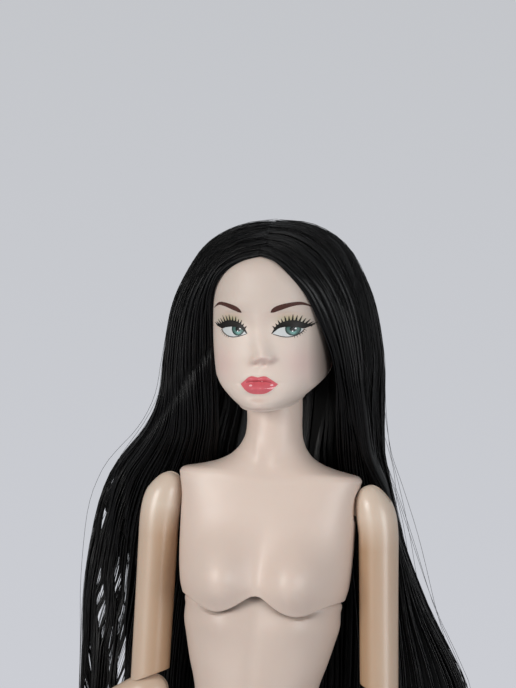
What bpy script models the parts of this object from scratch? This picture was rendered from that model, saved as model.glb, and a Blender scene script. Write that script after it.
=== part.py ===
"""Fashion doll, 300 mm tall, with an articulated body and long straight hair.

Metres, +Z up, the doll faces -Y and its own left side is +X. The origin is
the middle of the waist, where a doll stand's clip grips it, because the
arched feet can't carry the doll. Each body piece hangs under an empty that
stands on its joint.
"""

import math

import bmesh
import bpy
from mathutils import Matrix, Vector

# Steps up the figure, from the soles
ANKLE_HEIGHT = 0.0215
SHIN_LENGTH = 0.0625
THIGH_LENGTH = 0.076
CROTCH_DROP = 0.0085
SEAT_EDGE_RISE = 0.003
HIP_TO_WAIST = 0.031
WAIST_TO_BUST = 0.0262
BUST_RISE = 0.0075
DOME_RISE = 0.0085
TORSO_BALL_RISE = 0.0118
BUST_TO_SHOULDER = 0.028
SHOULDER_DROP = 0.0062
SHOULDER_TO_NECK = 0.0143
NECK_TOP_RISE = 0.0020
CHIN_DROP = 0.0017
HEAD_HEIGHT = 0.0396
HAIR_LIFT = 0.0026
NAPE_RISE = 0.0025
PARTING_DROP = 0.0087
HAIR_LENGTH = 0.182

# Torso, measured from its middle line
CHEST_HALF_WIDTH = 0.0189
CHEST_FRONT = 0.0138
CHEST_BACK = 0.0108
BUST_SWELL = 0.0027
BUST_SPREAD = 0.0086
BUST_HALF_WIDTH = 0.0064
BUST_HALF_HEIGHT = 0.0062
RIM_DIP = 0.0032
RIM_DIP_HALF_WIDTH = 0.0056
RIM_DIP_FADE = 0.0060
RIM_NOTCH = 0.0014
RIM_NOTCH_HALF_WIDTH = 0.0030
RIB_HALF_WIDTH = 0.0175
RIB_FRONT = 0.0112
RIB_BACK = 0.0079
HIP_HALF_WIDTH = 0.0205
BELLY_FRONT = 0.0120
SEAT_BACK = 0.0146
NECK_RADIUS = 0.0061
WEB_HALF_WIDTH = 0.0019
LEG_LINE_BACK = 0.0020

# Arms, along their own axis from the shoulder down
SHOULDER_X = 0.0240
ARM_CAP_RADIUS = 0.0043
UPPER_ARM_LENGTH = 0.0433
ELBOW_RIM = 0.0036
ELBOW_RADIUS = 0.0039
FOREARM_LENGTH = 0.0365
WRIST_RIM = 0.0012
WRIST_RADIUS = 0.0024
HAND_LENGTH = 0.0195
PALM_HALF_WIDTH = 0.0034
PALM_HALF_THICKNESS = 0.0017
THUMB_LENGTH = 0.0078

# Legs
HIP_X = 0.0115
HIP_RADIUS = 0.0092
KNEE_INSET = 0.0032
KNEE_RADIUS = 0.0060
KNEE_FRONT_EDGE = 0.0005
KNEE_BACK_EDGE = 0.0090
CALF_HALF_WIDTH = 0.0061
CALF_DEPTH = 0.0062
ANKLE_INSET = 0.0006
ANKLE_RADIUS = 0.0034
ANKLE_RIM = 0.0014
FOOT_HALF_WIDTH = 0.0042
FOOT_REACH = 0.0205

# Head, measured from the neck's middle line
HEAD_HALF_WIDTH = 0.0131
FACE_FRONT = 0.0149
HEAD_BACK = 0.0162
NOSE_REACH = 0.0028
NOSE_HALF_WIDTH = 0.0021
NOSE_TIP_RISE = 0.0114
NOSE_LENGTH = 0.0093
EYE_RISE = 0.0190
EYE_X = 0.0060
EYE_HOLLOW = 0.0011
EYE_HALF_WIDTH = 0.0036
EYE_HALF_HEIGHT = 0.0030
LIP_RISE = 0.0068
LIP_REACH = 0.0011
LIP_HALF_WIDTH = 0.0036
LIP_HALF_HEIGHT = 0.0018
CHIN_CENTRE_RISE = 0.0019
CHIN_REACH = 0.0009
CHIN_SIZE = 0.0032

# Hair, measured from the head's and the chest's middle line
HAIR_HALF_WIDTH = 0.0238
HAIR_FRONT = 0.0146
HAIR_BACK = 0.0200
HAIRLINE_RISE = 0.0344
FACE_OPENING_HALF_WIDTH = 0.0112
FACE_OPENING_DEPTH = 0.0100
FALL_HALF_WIDTH = 0.0400
FALL_SHIFT = 0.0040
NECK_OPENING_HALF_WIDTH = 0.0074

# Joint hardware
TORSO_BALL_RADIUS = 0.0034
TORSO_PEG_RADIUS = 0.0022
TORSO_PEG_LENGTH = 0.0150
NECK_BALL_RADIUS = 0.0028
NECK_STEM_RADIUS = 0.0016
NECK_STEM_LENGTH = 0.0073
NECK_FLANGE_RADIUS = 0.0046
NECK_FLANGE_THICKNESS = 0.0020
NECK_HOLE_RADIUS = 0.0068
NECK_HOLE_DEPTH = 0.0047
SHOULDER_PEG_RADIUS = 0.0026
SHOULDER_PEG_LENGTH = 0.0085
SHOULDER_TANG_RADIUS = 0.0024
SHOULDER_TANG_THICKNESS = 0.0018
SHOULDER_TANG_HEIGHT = 0.0038
SHOULDER_PIN_RADIUS = 0.0007
ELBOW_PEG_RADIUS = 0.0015
ELBOW_PEG_LENGTH = 0.0085
ELBOW_TANG_RADIUS = 0.0021
ELBOW_TANG_THICKNESS = 0.0016
ELBOW_TANG_WIDTH = 0.0028
ELBOW_PIN_RADIUS = 0.0006
WRIST_PEG_RADIUS = 0.0010
WRIST_PEG_DEPTH = 0.0042
HIP_AXLE_RADIUS = 0.0013
HIP_AXLE_REACH = 0.0078
HIP_BLOCK_HALF = 0.0025
HIP_BAR_GAP = 0.0011
HIP_TANG_RADIUS = 0.0033
HIP_PIN_RADIUS = 0.0010
KNEE_TANG_RADIUS = 0.0044
KNEE_TANG_THICKNESS = 0.0024
KNEE_PIN_RADIUS = 0.0010
ANKLE_TANG_RADIUS = 0.0022
ANKLE_TANG_THICKNESS = 0.0018
ANKLE_PIN_RADIUS = 0.0006
PIN_INSET = 0.0005
TONGUE_STEP = 0.0001

# Clearances
FIT = 0.0003
RIM_SIDE_GAP = 0.0011
RIM_FRONT_GAP = 0.0019
RECESS_ROOF_GAP = 0.0013
CUT_OVERRUN = 0.0200
SEAM_GAP = 0.0003
SEAM_BACK = 0.0013
SEAM_REACH = 0.400

# Heights above the soles
KNEE_HEIGHT = ANKLE_HEIGHT + SHIN_LENGTH
HIP_HEIGHT = KNEE_HEIGHT + THIGH_LENGTH
CROTCH_HEIGHT = HIP_HEIGHT - CROTCH_DROP
SEAT_EDGE_HEIGHT = HIP_HEIGHT + SEAT_EDGE_RISE
LEG_LINE_HEIGHT = HIP_HEIGHT + HIP_RADIUS + 2 * FIT
WAIST_HEIGHT = HIP_HEIGHT + HIP_TO_WAIST
BUST_EDGE_HEIGHT = WAIST_HEIGHT + WAIST_TO_BUST
BUST_HEIGHT = BUST_EDGE_HEIGHT + BUST_RISE
ABDOMEN_TOP_HEIGHT = BUST_EDGE_HEIGHT + DOME_RISE
TORSO_BALL_HEIGHT = BUST_EDGE_HEIGHT + TORSO_BALL_RISE
SHOULDER_TOP_HEIGHT = BUST_EDGE_HEIGHT + BUST_TO_SHOULDER
SHOULDER_HEIGHT = SHOULDER_TOP_HEIGHT - SHOULDER_DROP
NECK_BALL_HEIGHT = SHOULDER_TOP_HEIGHT + SHOULDER_TO_NECK
NECK_TOP_HEIGHT = NECK_BALL_HEIGHT + NECK_TOP_RISE
CHIN_HEIGHT = NECK_BALL_HEIGHT - CHIN_DROP
SCALP_HEIGHT = CHIN_HEIGHT + HEAD_HEIGHT
HAIR_TOP_HEIGHT = SCALP_HEIGHT + HAIR_LIFT
NAPE_HEIGHT = NECK_BALL_HEIGHT + NAPE_RISE
HAIR_PARTING_HEIGHT = NECK_BALL_HEIGHT - PARTING_DROP
HAIR_END_HEIGHT = HAIR_TOP_HEIGHT - HAIR_LENGTH

# Rest pose, in degrees
HEAD_LEAN = -3.5
RIGHT_ARM_OUT = 0.3
LEFT_ARM_OUT = 3.5
RIGHT_ELBOW_BEND = 62.0
RIGHT_ELBOW_TURN = 90.0
LEFT_ELBOW_BEND = 0.0
LEFT_ELBOW_TURN = 0.0
FOOT_TURN = 6.0

BODY_SEGMENTS = 28
HEAD_SEGMENTS = 34
LIMB_SEGMENTS = 16
HAIR_SEGMENTS = 26
SMALL_SEGMENTS = 10
BALL_STEPS = 4
SHARP_ANGLE = math.radians(40)

# Each row: height, half width, front and back, as shares of the chest's
# height and of its three sizes
CHEST_SHARES = (
    (0.00, 0.945, 0.93, 0.93),
    (0.05, 0.965, 0.97, 0.94),
    (0.13, 0.985, 1.00, 0.95),
    (0.28, 0.995, 1.00, 0.97),
    (0.42, 0.990, 0.95, 0.98),
    (0.60, 1.000, 0.84, 1.00),
    (0.76, 1.014, 0.71, 0.98),
    (0.92, 1.028, 0.57, 0.90),
    (1.00, 0.950, 0.49, 0.78),
    (1.04, 0.700, 0.45, 0.70),
    (1.09, 0.500, 0.43, 0.63),
    (1.15, 0.385, 0.42, 0.59),
)
# Each row: height as a share of the neck, and radius as a share of its own
NECK_SHARES = (
    (0.10, 1.00),
    (0.40, 0.975),
    (0.62, 0.93),
    (0.80, 0.82),
    (0.93, 0.64),
    (1.0, 0.42),
)
# The same four columns, between the crotch and the waist
PELVIS_SHARES = (
    (0.00, 0.16, 0.30, 0.42),
    (0.06, 0.34, 0.62, 0.70),
    (0.16, 0.80, 0.84, 0.90),
    (0.28, 0.985, 0.94, 1.00),
    (0.42, 1.000, 1.00, 1.00),
    (0.55, 0.950, 1.02, 0.93),
    (0.70, 0.835, 0.98, 0.79),
    (0.85, 0.705, 0.92, 0.63),
    (1.00, 0.632, 0.87, 0.53),
)
# The same four columns, between the waist and the bust's lower edge
ABDOMEN_SHARES = (
    (0.15, 0.737, 0.93, 0.97),
    (0.30, 0.769, 0.95, 0.97),
    (0.50, 0.854, 0.97, 1.00),
    (0.68, 0.920, 0.95, 0.99),
    (0.82, 0.951, 0.92, 0.98),
    (0.92, 0.955, 0.89, 0.95),
)
# The same four columns, between the bust's lower edge and the dome's top
DOME_SHARES = (
    (0.00, 0.895, 0.86, 0.90),
    (0.30, 0.870, 0.84, 0.87),
    (0.62, 0.780, 0.75, 0.76),
    (0.86, 0.585, 0.54, 0.56),
    (1.00, 0.300, 0.28, 0.30),
)
# Each row: height, half width, front and back, as shares of the head
HEAD_SHARES = (
    (0.000, 0.50, 0.74, 0.46),
    (0.020, 0.585, 0.875, 0.545),
    (0.060, 0.680, 0.945, 0.64),
    (0.120, 0.800, 0.950, 0.76),
    (0.190, 0.875, 0.940, 0.86),
    (0.260, 0.925, 0.945, 0.92),
    (0.330, 0.955, 0.955, 0.96),
    (0.400, 0.975, 0.945, 0.985),
    (0.470, 0.990, 0.930, 1.0),
    (0.550, 1.0, 0.965, 1.0),
    (0.640, 1.0, 1.000, 1.0),
    (0.740, 0.970, 0.985, 0.975),
    (0.840, 0.860, 0.890, 0.88),
    (0.920, 0.670, 0.700, 0.71),
    (0.970, 0.440, 0.460, 0.48),
    (1.000, 0.160, 0.170, 0.19),
)
# Each row: height, shift to the right, half width, middle, front and back, as
# shares of the hair's height, of the fall's shift and of the hair's sizes
CROWN_SHARES = (
    (1.00, 0.00, 0.12, 0.10, 0.20, 0.12),
    (0.965, 0.00, 0.42, 0.00, 0.66, 0.46),
    (0.90, 0.00, 0.625, 0.00, 0.91, 0.69),
    (0.81, 0.00, 0.74, 0.00, 0.985, 0.83),
    (0.68, 0.00, 0.835, 0.00, 0.92, 0.93),
    (0.54, 0.00, 0.915, 0.00, 0.80, 0.98),
    (0.39, 0.00, 0.970, 0.00, 0.66, 1.00),
    (0.22, 0.00, 1.000, 0.00, 0.52, 0.99),
    (0.08, 0.05, 1.010, 0.02, 0.42, 0.96),
    (0.00, 0.10, 1.022, 0.06, 0.38, 0.93),
)
NAPE_SHARES = (
    (0.88, 0.25, 1.040, 0.14, 0.36, 0.86),
    (0.50, 0.55, 1.075, 0.30, 0.34, 0.72),
    (0.00, 0.90, 1.135, 0.50, 0.28, 0.56),
)
# The same columns below the parting, of the fall's height and half width
FALL_SHARES = (
    (0.975, 1.00, 0.715, 0.545, 0.14, 0.50),
    (0.92, 1.15, 0.772, 0.595, 0.08, 0.41),
    (0.84, 0.95, 0.845, 0.630, 0.06, 0.37),
    (0.75, 0.39, 0.924, 0.660, 0.05, 0.36),
    (0.65, -0.60, 1.000, 0.720, 0.05, 0.37),
    (0.55, -1.00, 1.040, 0.790, 0.05, 0.38),
    (0.42, -1.10, 1.050, 0.830, 0.05, 0.38),
    (0.28, -1.00, 1.000, 0.820, 0.05, 0.36),
    (0.15, -0.90, 0.880, 0.780, 0.05, 0.30),
    (0.05, -0.80, 0.700, 0.760, 0.05, 0.20),
    (0.00, -0.80, 0.520, 0.760, 0.04, 0.09),
)
# Each row: height above the neck's ball and half width, as shares of the
# hairline's height and of the face opening's half width
FACE_OPENING_SHARES = ((-0.60, 1.0), (0.52, 0.96), (0.70, 0.90), (0.84, 0.72), (0.94, 0.48), (1.0, 0.30))
FALL_SPLIT_SHARE = 0.34
# Each row: distance from the joint, half width, front and back, as shares of
# the limb's length and of its top radius
UPPER_ARM_SHARES = (
    (0.08, 0.985, 1.00, 1.00),
    (0.25, 0.970, 0.99, 0.98),
    (0.45, 0.955, 0.97, 0.96),
    (0.65, 0.945, 0.95, 0.94),
    (0.82, 0.925, 0.93, 0.92),
)
FOREARM_SHARES = (
    (0.09, 0.960, 0.845, 0.98),
    (0.20, 0.950, 0.840, 0.97),
    (0.38, 0.900, 0.840, 0.92),
    (0.58, 0.790, 0.770, 0.80),
    (0.78, 0.680, 0.650, 0.68),
)
THIGH_SHARES = (
    (0.10, 0.985, 1.00, 1.05, 0.02),
    (0.22, 0.965, 1.02, 1.02, 0.20),
    (0.42, 0.890, 0.97, 0.92, 0.52),
    (0.62, 0.790, 0.87, 0.80, 0.76),
    (0.80, 0.695, 0.75, 0.69, 0.92),
    (0.92, 0.655, 0.69, 0.645, 0.98),
)
SHIN_SHARES = (
    (0.000, 0.97, 0.98, 0.99, 0.0),
    (0.110, 0.97, 0.95, 1.06, 0.0),
    (0.290, 1.00, 0.86, 1.24, 0.1),
    (0.450, 0.92, 0.80, 1.14, 0.3),
    (0.650, 0.72, 0.68, 0.84, 0.6),
    (0.840, 0.56, 0.57, 0.62, 0.9),
)
# How far the top rings of the shin follow the slope behind the knee
KNEE_SLOPE_SHARES = (1.0, 0.55, 0.12)
# Each row: forward, down, half width and half thickness, as shares of the
# foot's reach, the ankle's height and the foot's half width, and the
# section's tilt in degrees
FOOT_SHARES = (
    (0.00, 0.15, 0.80, 0.86, 0.0),
    (-0.01, 0.33, 0.83, 1.00, 12.0),
    (0.06, 0.52, 0.82, 1.02, 34.0),
    (0.25, 0.68, 0.80, 0.76, 47.0),
    (0.46, 0.82, 0.92, 0.52, 55.0),
    (0.64, 0.905, 1.00, 0.44, 72.0),
    (0.82, 0.950, 0.92, 0.33, 84.0),
    (0.95, 0.965, 0.62, 0.24, 88.0),
    (1.00, 0.970, 0.28, 0.14, 90.0),
)
ELBOW_RIM_SHARES = (0.91, 0.92, 0.90)
ANKLE_RIM_SHARE = 0.98
TONGUE_DEPTH_SHARE = 0.8
BALL_END_ANGLE = 4.0
UPRIGHT_SHARE = 0.7
WRIST_SHARE = 0.03
WRIST_THICKNESS_SHARE = 1.15
WRIST_WIDTH_SHARE = 0.66
KNUCKLE_SHARE = 0.54
THUMB_ROOT_SHARES = (0.18, 0.36)
FINGER_SHARES = (0.90, 1.0, 0.95, 0.76)
FINGER_TAPER_SHARES = (0.86, 0.94, 0.88)
THUMB_TAPER_SHARES = (0.80, 0.90, 0.85)
THUMB_ANGLE = 34.0


def clear_scene():
    for thing in list(bpy.data.objects):
        bpy.data.objects.remove(thing, do_unlink=True)


def level(height):
    """Z of a height above the soles."""
    return height - WAIST_HEIGHT


def between(low, high, share):
    return low + (high - low) * share


def make_material(name, colour, roughness, metallic=0.0):
    material = bpy.data.materials.new(name)
    material.use_nodes = True
    shader = material.node_tree.nodes["Principled BSDF"]
    shader.inputs["Base Color"].default_value = (*colour, 1.0)
    shader.inputs["Roughness"].default_value = roughness
    shader.inputs["Metallic"].default_value = metallic
    return material


def copy_material(name, source):
    """Each sub-part has a material of its own, in its group's finish."""
    shader = source.node_tree.nodes["Principled BSDF"].inputs
    colour = tuple(shader["Base Color"].default_value)[:3]
    roughness = shader["Roughness"].default_value
    return make_material(name, colour, roughness, shader["Metallic"].default_value)


def finish(mesh_bm, name, finish_material, parent=None):
    """Turn a bmesh into a smooth shaded object under its joint's empty."""
    bmesh.ops.recalc_face_normals(mesh_bm, faces=mesh_bm.faces)
    mesh = bpy.data.meshes.new(name)
    mesh_bm.to_mesh(mesh)
    mesh_bm.free()
    mesh.shade_smooth()
    mesh.set_sharp_from_angle(angle=SHARP_ANGLE)
    piece = bpy.data.objects.new(name, mesh)
    bpy.context.scene.collection.objects.link(piece)
    if finish_material is not None:
        mesh.materials.append(copy_material(name, finish_material))
    piece.parent = parent
    return piece


def make_cutter(mesh_bm, name, parent=None):
    cutter = finish(mesh_bm, name, None, parent)
    cutter.hide_render = True
    cutter.display_type = "WIRE"
    return cutter


def boolean(piece, tool, operation="DIFFERENCE"):
    modifier = piece.modifiers.new(tool.name, "BOOLEAN")
    modifier.operation = operation
    modifier.solver = "EXACT"
    modifier.object = tool


def make_axis(name, parent, place, turn=(0.0, 0.0, 0.0)):
    """An empty on a joint, placed under its parent and turned in degrees."""
    axis = bpy.data.objects.new(name, None)
    bpy.context.scene.collection.objects.link(axis)
    axis.parent = parent
    axis.location = place
    axis.rotation_euler = [math.radians(angle) for angle in turn]
    return axis


def loft(rings, segments):
    """Skin closed rings. A ring is a centre, half width, front, back, tilt."""
    mesh_bm = bmesh.new()
    made = bmesh.ops.create_circle(mesh_bm, cap_ends=False, segments=segments, radius=1.0)
    loop = made["verts"]
    edges = list(mesh_bm.edges)
    unit = [vert.co.copy() for vert in loop]
    for index, (centre, half_width, front, back, tilt) in enumerate(rings):
        if index:
            spread = bmesh.ops.extrude_edge_only(mesh_bm, edges=edges)
            edges = [item for item in spread["geom"] if isinstance(item, bmesh.types.BMEdge)]
            fresh = [item for item in spread["geom"] if isinstance(item, bmesh.types.BMVert)]
            loop = [min(fresh, key=lambda vert, old=old: (vert.co - old.co).length) for old in loop]
        turn = Matrix.Rotation(math.radians(tilt), 3, "X")
        for vert, spot in zip(loop, unit):
            depth = front if spot.y < 0.0 else back
            vert.co = Vector(centre) + turn @ Vector((spot.x * half_width, spot.y * depth, 0.0))
        edges = [edge for edge in edges if edge.is_valid]
    mesh_bm.verts.ensure_lookup_table()
    bmesh.ops.holes_fill(mesh_bm, edges=[edge for edge in mesh_bm.edges if edge.is_boundary], sides=0)
    return mesh_bm


def torso_rings(table, low, high, width, front, back):
    rings = []
    for height, width_share, front_share, back_share in table:
        place = (0.0, 0.0, level(between(low, high, height)))
        rings.append((place, width * width_share, front * front_share, back * back_share, 0.0))
    return rings


def ball_rings(radius, top=True):
    """Rings of a half ball round the origin, from its equator to its pole."""
    rings = []
    for step in range(BALL_STEPS + 1):
        angle = math.radians(90.0 - BALL_END_ANGLE) * step / BALL_STEPS
        rise = radius * math.sin(angle)
        size = radius * math.cos(angle)
        rings.append(((0.0, 0.0, rise if top else -rise), size, size, size, 0.0))
    return rings


def limb_rings(table, length, radius, shift=0.0, depth=None):
    """Rings down a limb whose top radius and bottom shift are given."""
    depth = radius if depth is None else depth
    rings = []
    for row in table:
        along, width, front, back = row[:4]
        side = shift * (row[4] if len(row) > 4 else along)
        rings.append(((side, 0.0, -length * along), radius * width, depth * front, depth * back, 0.0))
    return rings


def ball(radius, segments=SMALL_SEGMENTS):
    mesh_bm = bmesh.new()
    bmesh.ops.create_uvsphere(mesh_bm, u_segments=segments, v_segments=segments // 2 + 1, radius=radius)
    return mesh_bm


def ball_profile(radius, low, high):
    """Height and radius at steps up a ball, between two heights."""
    first = math.asin(max(-1.0, low / radius)) + math.radians(BALL_END_ANGLE)
    last = math.asin(min(1.0, high / radius)) - math.radians(BALL_END_ANGLE)
    profile = []
    for step in range(2 * BALL_STEPS + 1):
        angle = between(first, last, step / (2 * BALL_STEPS))
        profile.append((radius * math.sin(angle), radius * math.cos(angle)))
    return profile


def turned(profile, segments=SMALL_SEGMENTS):
    """A turned piece round Z from its heights and radii."""
    return loft([((0.0, 0.0, height), size, size, size, 0.0) for height, size in profile], segments)


def rod(radius, length, axis, centre=(0.0, 0.0, 0.0), segments=SMALL_SEGMENTS):
    """A cylinder along X, Y or Z."""
    mesh_bm = bmesh.new()
    bmesh.ops.create_cone(
        mesh_bm, cap_ends=True, segments=segments, radius1=radius, radius2=radius, depth=length)
    turn = {"X": Matrix.Rotation(math.pi / 2, 3, "Y"), "Y": Matrix.Rotation(math.pi / 2, 3, "X")}
    if axis in turn:
        bmesh.ops.rotate(mesh_bm, verts=mesh_bm.verts, matrix=turn[axis])
    bmesh.ops.translate(mesh_bm, verts=mesh_bm.verts, vec=centre)
    return mesh_bm


def block(low, high):
    """A box between two corners."""
    mesh_bm = bmesh.new()
    bmesh.ops.create_cube(mesh_bm, size=1.0)
    size = [upper - lower for lower, upper in zip(low, high)]
    middle = [(lower + upper) / 2 for lower, upper in zip(low, high)]
    bmesh.ops.scale(mesh_bm, verts=mesh_bm.verts, vec=size)
    bmesh.ops.translate(mesh_bm, verts=mesh_bm.verts, vec=middle)
    mesh_bm.normal_update()
    return mesh_bm


def bell(distance, width):
    """A smooth bump that is 1 at distance zero."""
    return math.exp(-((distance / width) ** 2))


def dome_rings():
    """The round top of the abdomen, which sits inside the bust shell."""
    return torso_rings(
        DOME_SHARES, BUST_EDGE_HEIGHT, ABDOMEN_TOP_HEIGHT, RIB_HALF_WIDTH, RIB_FRONT, RIB_BACK)


def build_lower_torso(material):
    hips = torso_rings(
        PELVIS_SHARES, CROTCH_HEIGHT, WAIST_HEIGHT, HIP_HALF_WIDTH, BELLY_FRONT, SEAT_BACK)
    ribs = torso_rings(
        ABDOMEN_SHARES, WAIST_HEIGHT, BUST_EDGE_HEIGHT, RIB_HALF_WIDTH, RIB_FRONT, RIB_BACK)
    rings = hips + ribs + dome_rings()
    cutters = []
    for side, name in ((-1, "right"), (1, "left")):
        recess = ball(HIP_RADIUS + FIT, LIMB_SEGMENTS)
        bmesh.ops.translate(recess, verts=recess.verts, vec=(side * HIP_X, 0.0, level(HIP_HEIGHT)))
        cutters.append(make_cutter(recess, "cut_hip_" + name))
        near, far = sorted((side * WEB_HALF_WIDTH, side * (HIP_HALF_WIDTH + CUT_OVERRUN)))
        cutters.append(make_cutter(leg_room(near, far), "cut_leg_" + name))
    axle = rod(HIP_AXLE_RADIUS + FIT, 2 * CUT_OVERRUN, "X", (0.0, 0.0, level(HIP_HEIGHT)))
    cutters.append(make_cutter(axle, "cut_hip_axle"))
    drop = TORSO_PEG_LENGTH + TORSO_BALL_RADIUS + FIT
    bore = rod(
        TORSO_PEG_RADIUS + FIT, drop, "Z", (0.0, 0.0, level(TORSO_BALL_HEIGHT) - drop / 2))
    cutters.append(make_cutter(bore, "cut_torso_peg"))
    halves = (("abdomen_front", 1), ("abdomen_back", -1))
    for name, direction in halves:
        piece = finish(loft(rings, BODY_SEGMENTS), name, material)
        boolean(piece, seam_cutter("cut_seam_" + name, direction))
        for cutter in cutters:
            boolean(piece, cutter)


def leg_room(near, far):
    """The space for a leg under the pelvis, higher in front than behind."""
    mesh_bm = block(
        (near, -CUT_OVERRUN, level(CROTCH_HEIGHT) - CUT_OVERRUN), (far, CUT_OVERRUN, level(SEAT_EDGE_HEIGHT)))
    cut_plane(mesh_bm, (0.0, LEG_LINE_BACK, 0.0), (0.0, 1.0, 0.0))
    front = [
        face for face in mesh_bm.faces
        if face.normal.z > UPRIGHT_SHARE and face.calc_center_median().y < LEG_LINE_BACK]
    made = bmesh.ops.extrude_discrete_faces(mesh_bm, faces=front)
    for vert in made["faces"][0].verts:
        vert.co.z = level(LEG_LINE_HEIGHT)
    return mesh_bm


def seam_cutter(name, direction):
    """A large box that removes all behind, or before, the side seam."""
    near, far = sorted((SEAM_BACK - direction * SEAM_GAP / 2, direction * SEAM_REACH))
    return make_cutter(block((-SEAM_REACH, near, -SEAM_REACH), (SEAM_REACH, far, SEAM_REACH)), name)


def build_torso_ball(material):
    axis = make_axis("torso_twist_axis", None, (0.0, 0.0, level(TORSO_BALL_HEIGHT)))
    neck = math.sqrt(TORSO_BALL_RADIUS**2 - TORSO_PEG_RADIUS**2)
    peg_end = -TORSO_BALL_RADIUS - TORSO_PEG_LENGTH + FIT
    profile = [(peg_end, TORSO_PEG_RADIUS), (-neck, TORSO_PEG_RADIUS)]
    profile += ball_profile(TORSO_BALL_RADIUS, -neck, TORSO_BALL_RADIUS)
    finish(turned(profile, LIMB_SEGMENTS), "torso_ball", material, axis)
    return make_axis("torso_lean_axis", axis, (0.0, 0.0, 0.0))


def chest_mesh():
    """The bust shell and neck, with a scalloped lower edge."""
    rings = torso_rings(
        CHEST_SHARES, BUST_EDGE_HEIGHT, SHOULDER_TOP_HEIGHT, CHEST_HALF_WIDTH, CHEST_FRONT, CHEST_BACK)
    slope_top = between(BUST_EDGE_HEIGHT, SHOULDER_TOP_HEIGHT, CHEST_SHARES[-1][0])
    for height, radius in NECK_SHARES:
        place = (0.0, 0.0, level(between(slope_top, NECK_TOP_HEIGHT, height)))
        size = NECK_RADIUS * radius
        rings.append((place, size, size, size, 0.0))
    mesh_bm = loft(rings, BODY_SEGMENTS)
    edge_low = level(BUST_EDGE_HEIGHT)
    for vert in mesh_bm.verts:
        spot = vert.co
        if spot.y >= 0.0:
            continue
        across = bell(abs(spot.x) - BUST_SPREAD, BUST_HALF_WIDTH)
        swell = BUST_SWELL * across * bell(spot.z - level(BUST_HEIGHT), BUST_HALF_HEIGHT)
        dip = RIM_DIP * bell(abs(spot.x) - BUST_SPREAD, RIM_DIP_HALF_WIDTH)
        notch = RIM_NOTCH * bell(spot.x, RIM_NOTCH_HALF_WIDTH)
        forward = -spot.y / CHEST_FRONT
        spot.z += (notch - dip) * forward * bell(spot.z - edge_low, RIM_DIP_FADE)
        spot.y -= swell * forward
    return mesh_bm


def build_chest(material, lean_axis):
    """The two chest halves, which trap both shoulder hubs and the torso ball."""
    lift = -lean_axis.parent.location.z
    rings = dome_rings()
    grown = []
    for index, (centre, half_width, front, back, tilt) in enumerate(rings):
        rise = RECESS_ROOF_GAP * index / (len(rings) - 1)
        place = (0.0, 0.0, centre[2] + rise)
        size = (half_width + RIM_SIDE_GAP, front + RIM_FRONT_GAP, back + RIM_FRONT_GAP)
        grown.append((place, *size, tilt))
    below = level(BUST_EDGE_HEIGHT) - CUT_OVERRUN
    first = grown[0]
    grown.insert(0, ((0.0, 0.0, below), *first[1:]))
    cutters = []
    for side, name in ((-1, "right"), (1, "left")):
        inner = CHEST_HALF_WIDTH - SHOULDER_PEG_LENGTH - FIT
        length = CUT_OVERRUN
        centre = (side * (inner + length / 2), 0.0, level(SHOULDER_HEIGHT))
        bore = rod(SHOULDER_PEG_RADIUS + FIT, length, "X", centre, LIMB_SEGMENTS)
        cutters.append(make_cutter(bore, "cut_shoulder_" + name))
    knob = ball(NECK_BALL_RADIUS + FIT)
    bmesh.ops.translate(knob, verts=knob.verts, vec=(0.0, 0.0, level(NECK_BALL_HEIGHT)))
    cutters.append(make_cutter(knob, "cut_neck_socket"))
    cutters.append(make_cutter(loft(grown, BODY_SEGMENTS), "cut_bust_recess"))
    socket = ball(TORSO_BALL_RADIUS + FIT, LIMB_SEGMENTS)
    bmesh.ops.translate(socket, verts=socket.verts, vec=(0.0, 0.0, level(TORSO_BALL_HEIGHT)))
    cutters.append(make_cutter(socket, "cut_torso_socket"))
    for name, direction in (("chest_front", 1), ("chest_back", -1)):
        piece = finish(chest_mesh(), name, material, lean_axis)
        piece.location = (0.0, 0.0, lift)
        for cutter in cutters:
            boolean(piece, cutter)
        boolean(piece, seam_cutter("cut_seam_" + name, direction))
    return lift


def build_neck_knob(material, lean_axis, lift):
    """A ball in the neck with a stem and a flange that holds the head."""
    place = (0.0, 0.0, level(NECK_BALL_HEIGHT) + lift)
    nod = make_axis("neck_nod_axis", lean_axis, place, (0.0, HEAD_LEAN, 0.0))
    stem_low = math.sqrt(NECK_BALL_RADIUS**2 - NECK_STEM_RADIUS**2)
    flange_low = NECK_STEM_LENGTH
    profile = ball_profile(NECK_BALL_RADIUS, -NECK_BALL_RADIUS, stem_low)
    profile += [
        (stem_low, NECK_STEM_RADIUS), (flange_low, NECK_STEM_RADIUS), (flange_low, NECK_FLANGE_RADIUS),
        (flange_low + NECK_FLANGE_THICKNESS, NECK_FLANGE_RADIUS)]
    finish(turned(profile), "neck_knob", material, nod)
    return make_axis("head_turn_axis", nod, (0.0, 0.0, 0.0))


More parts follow.
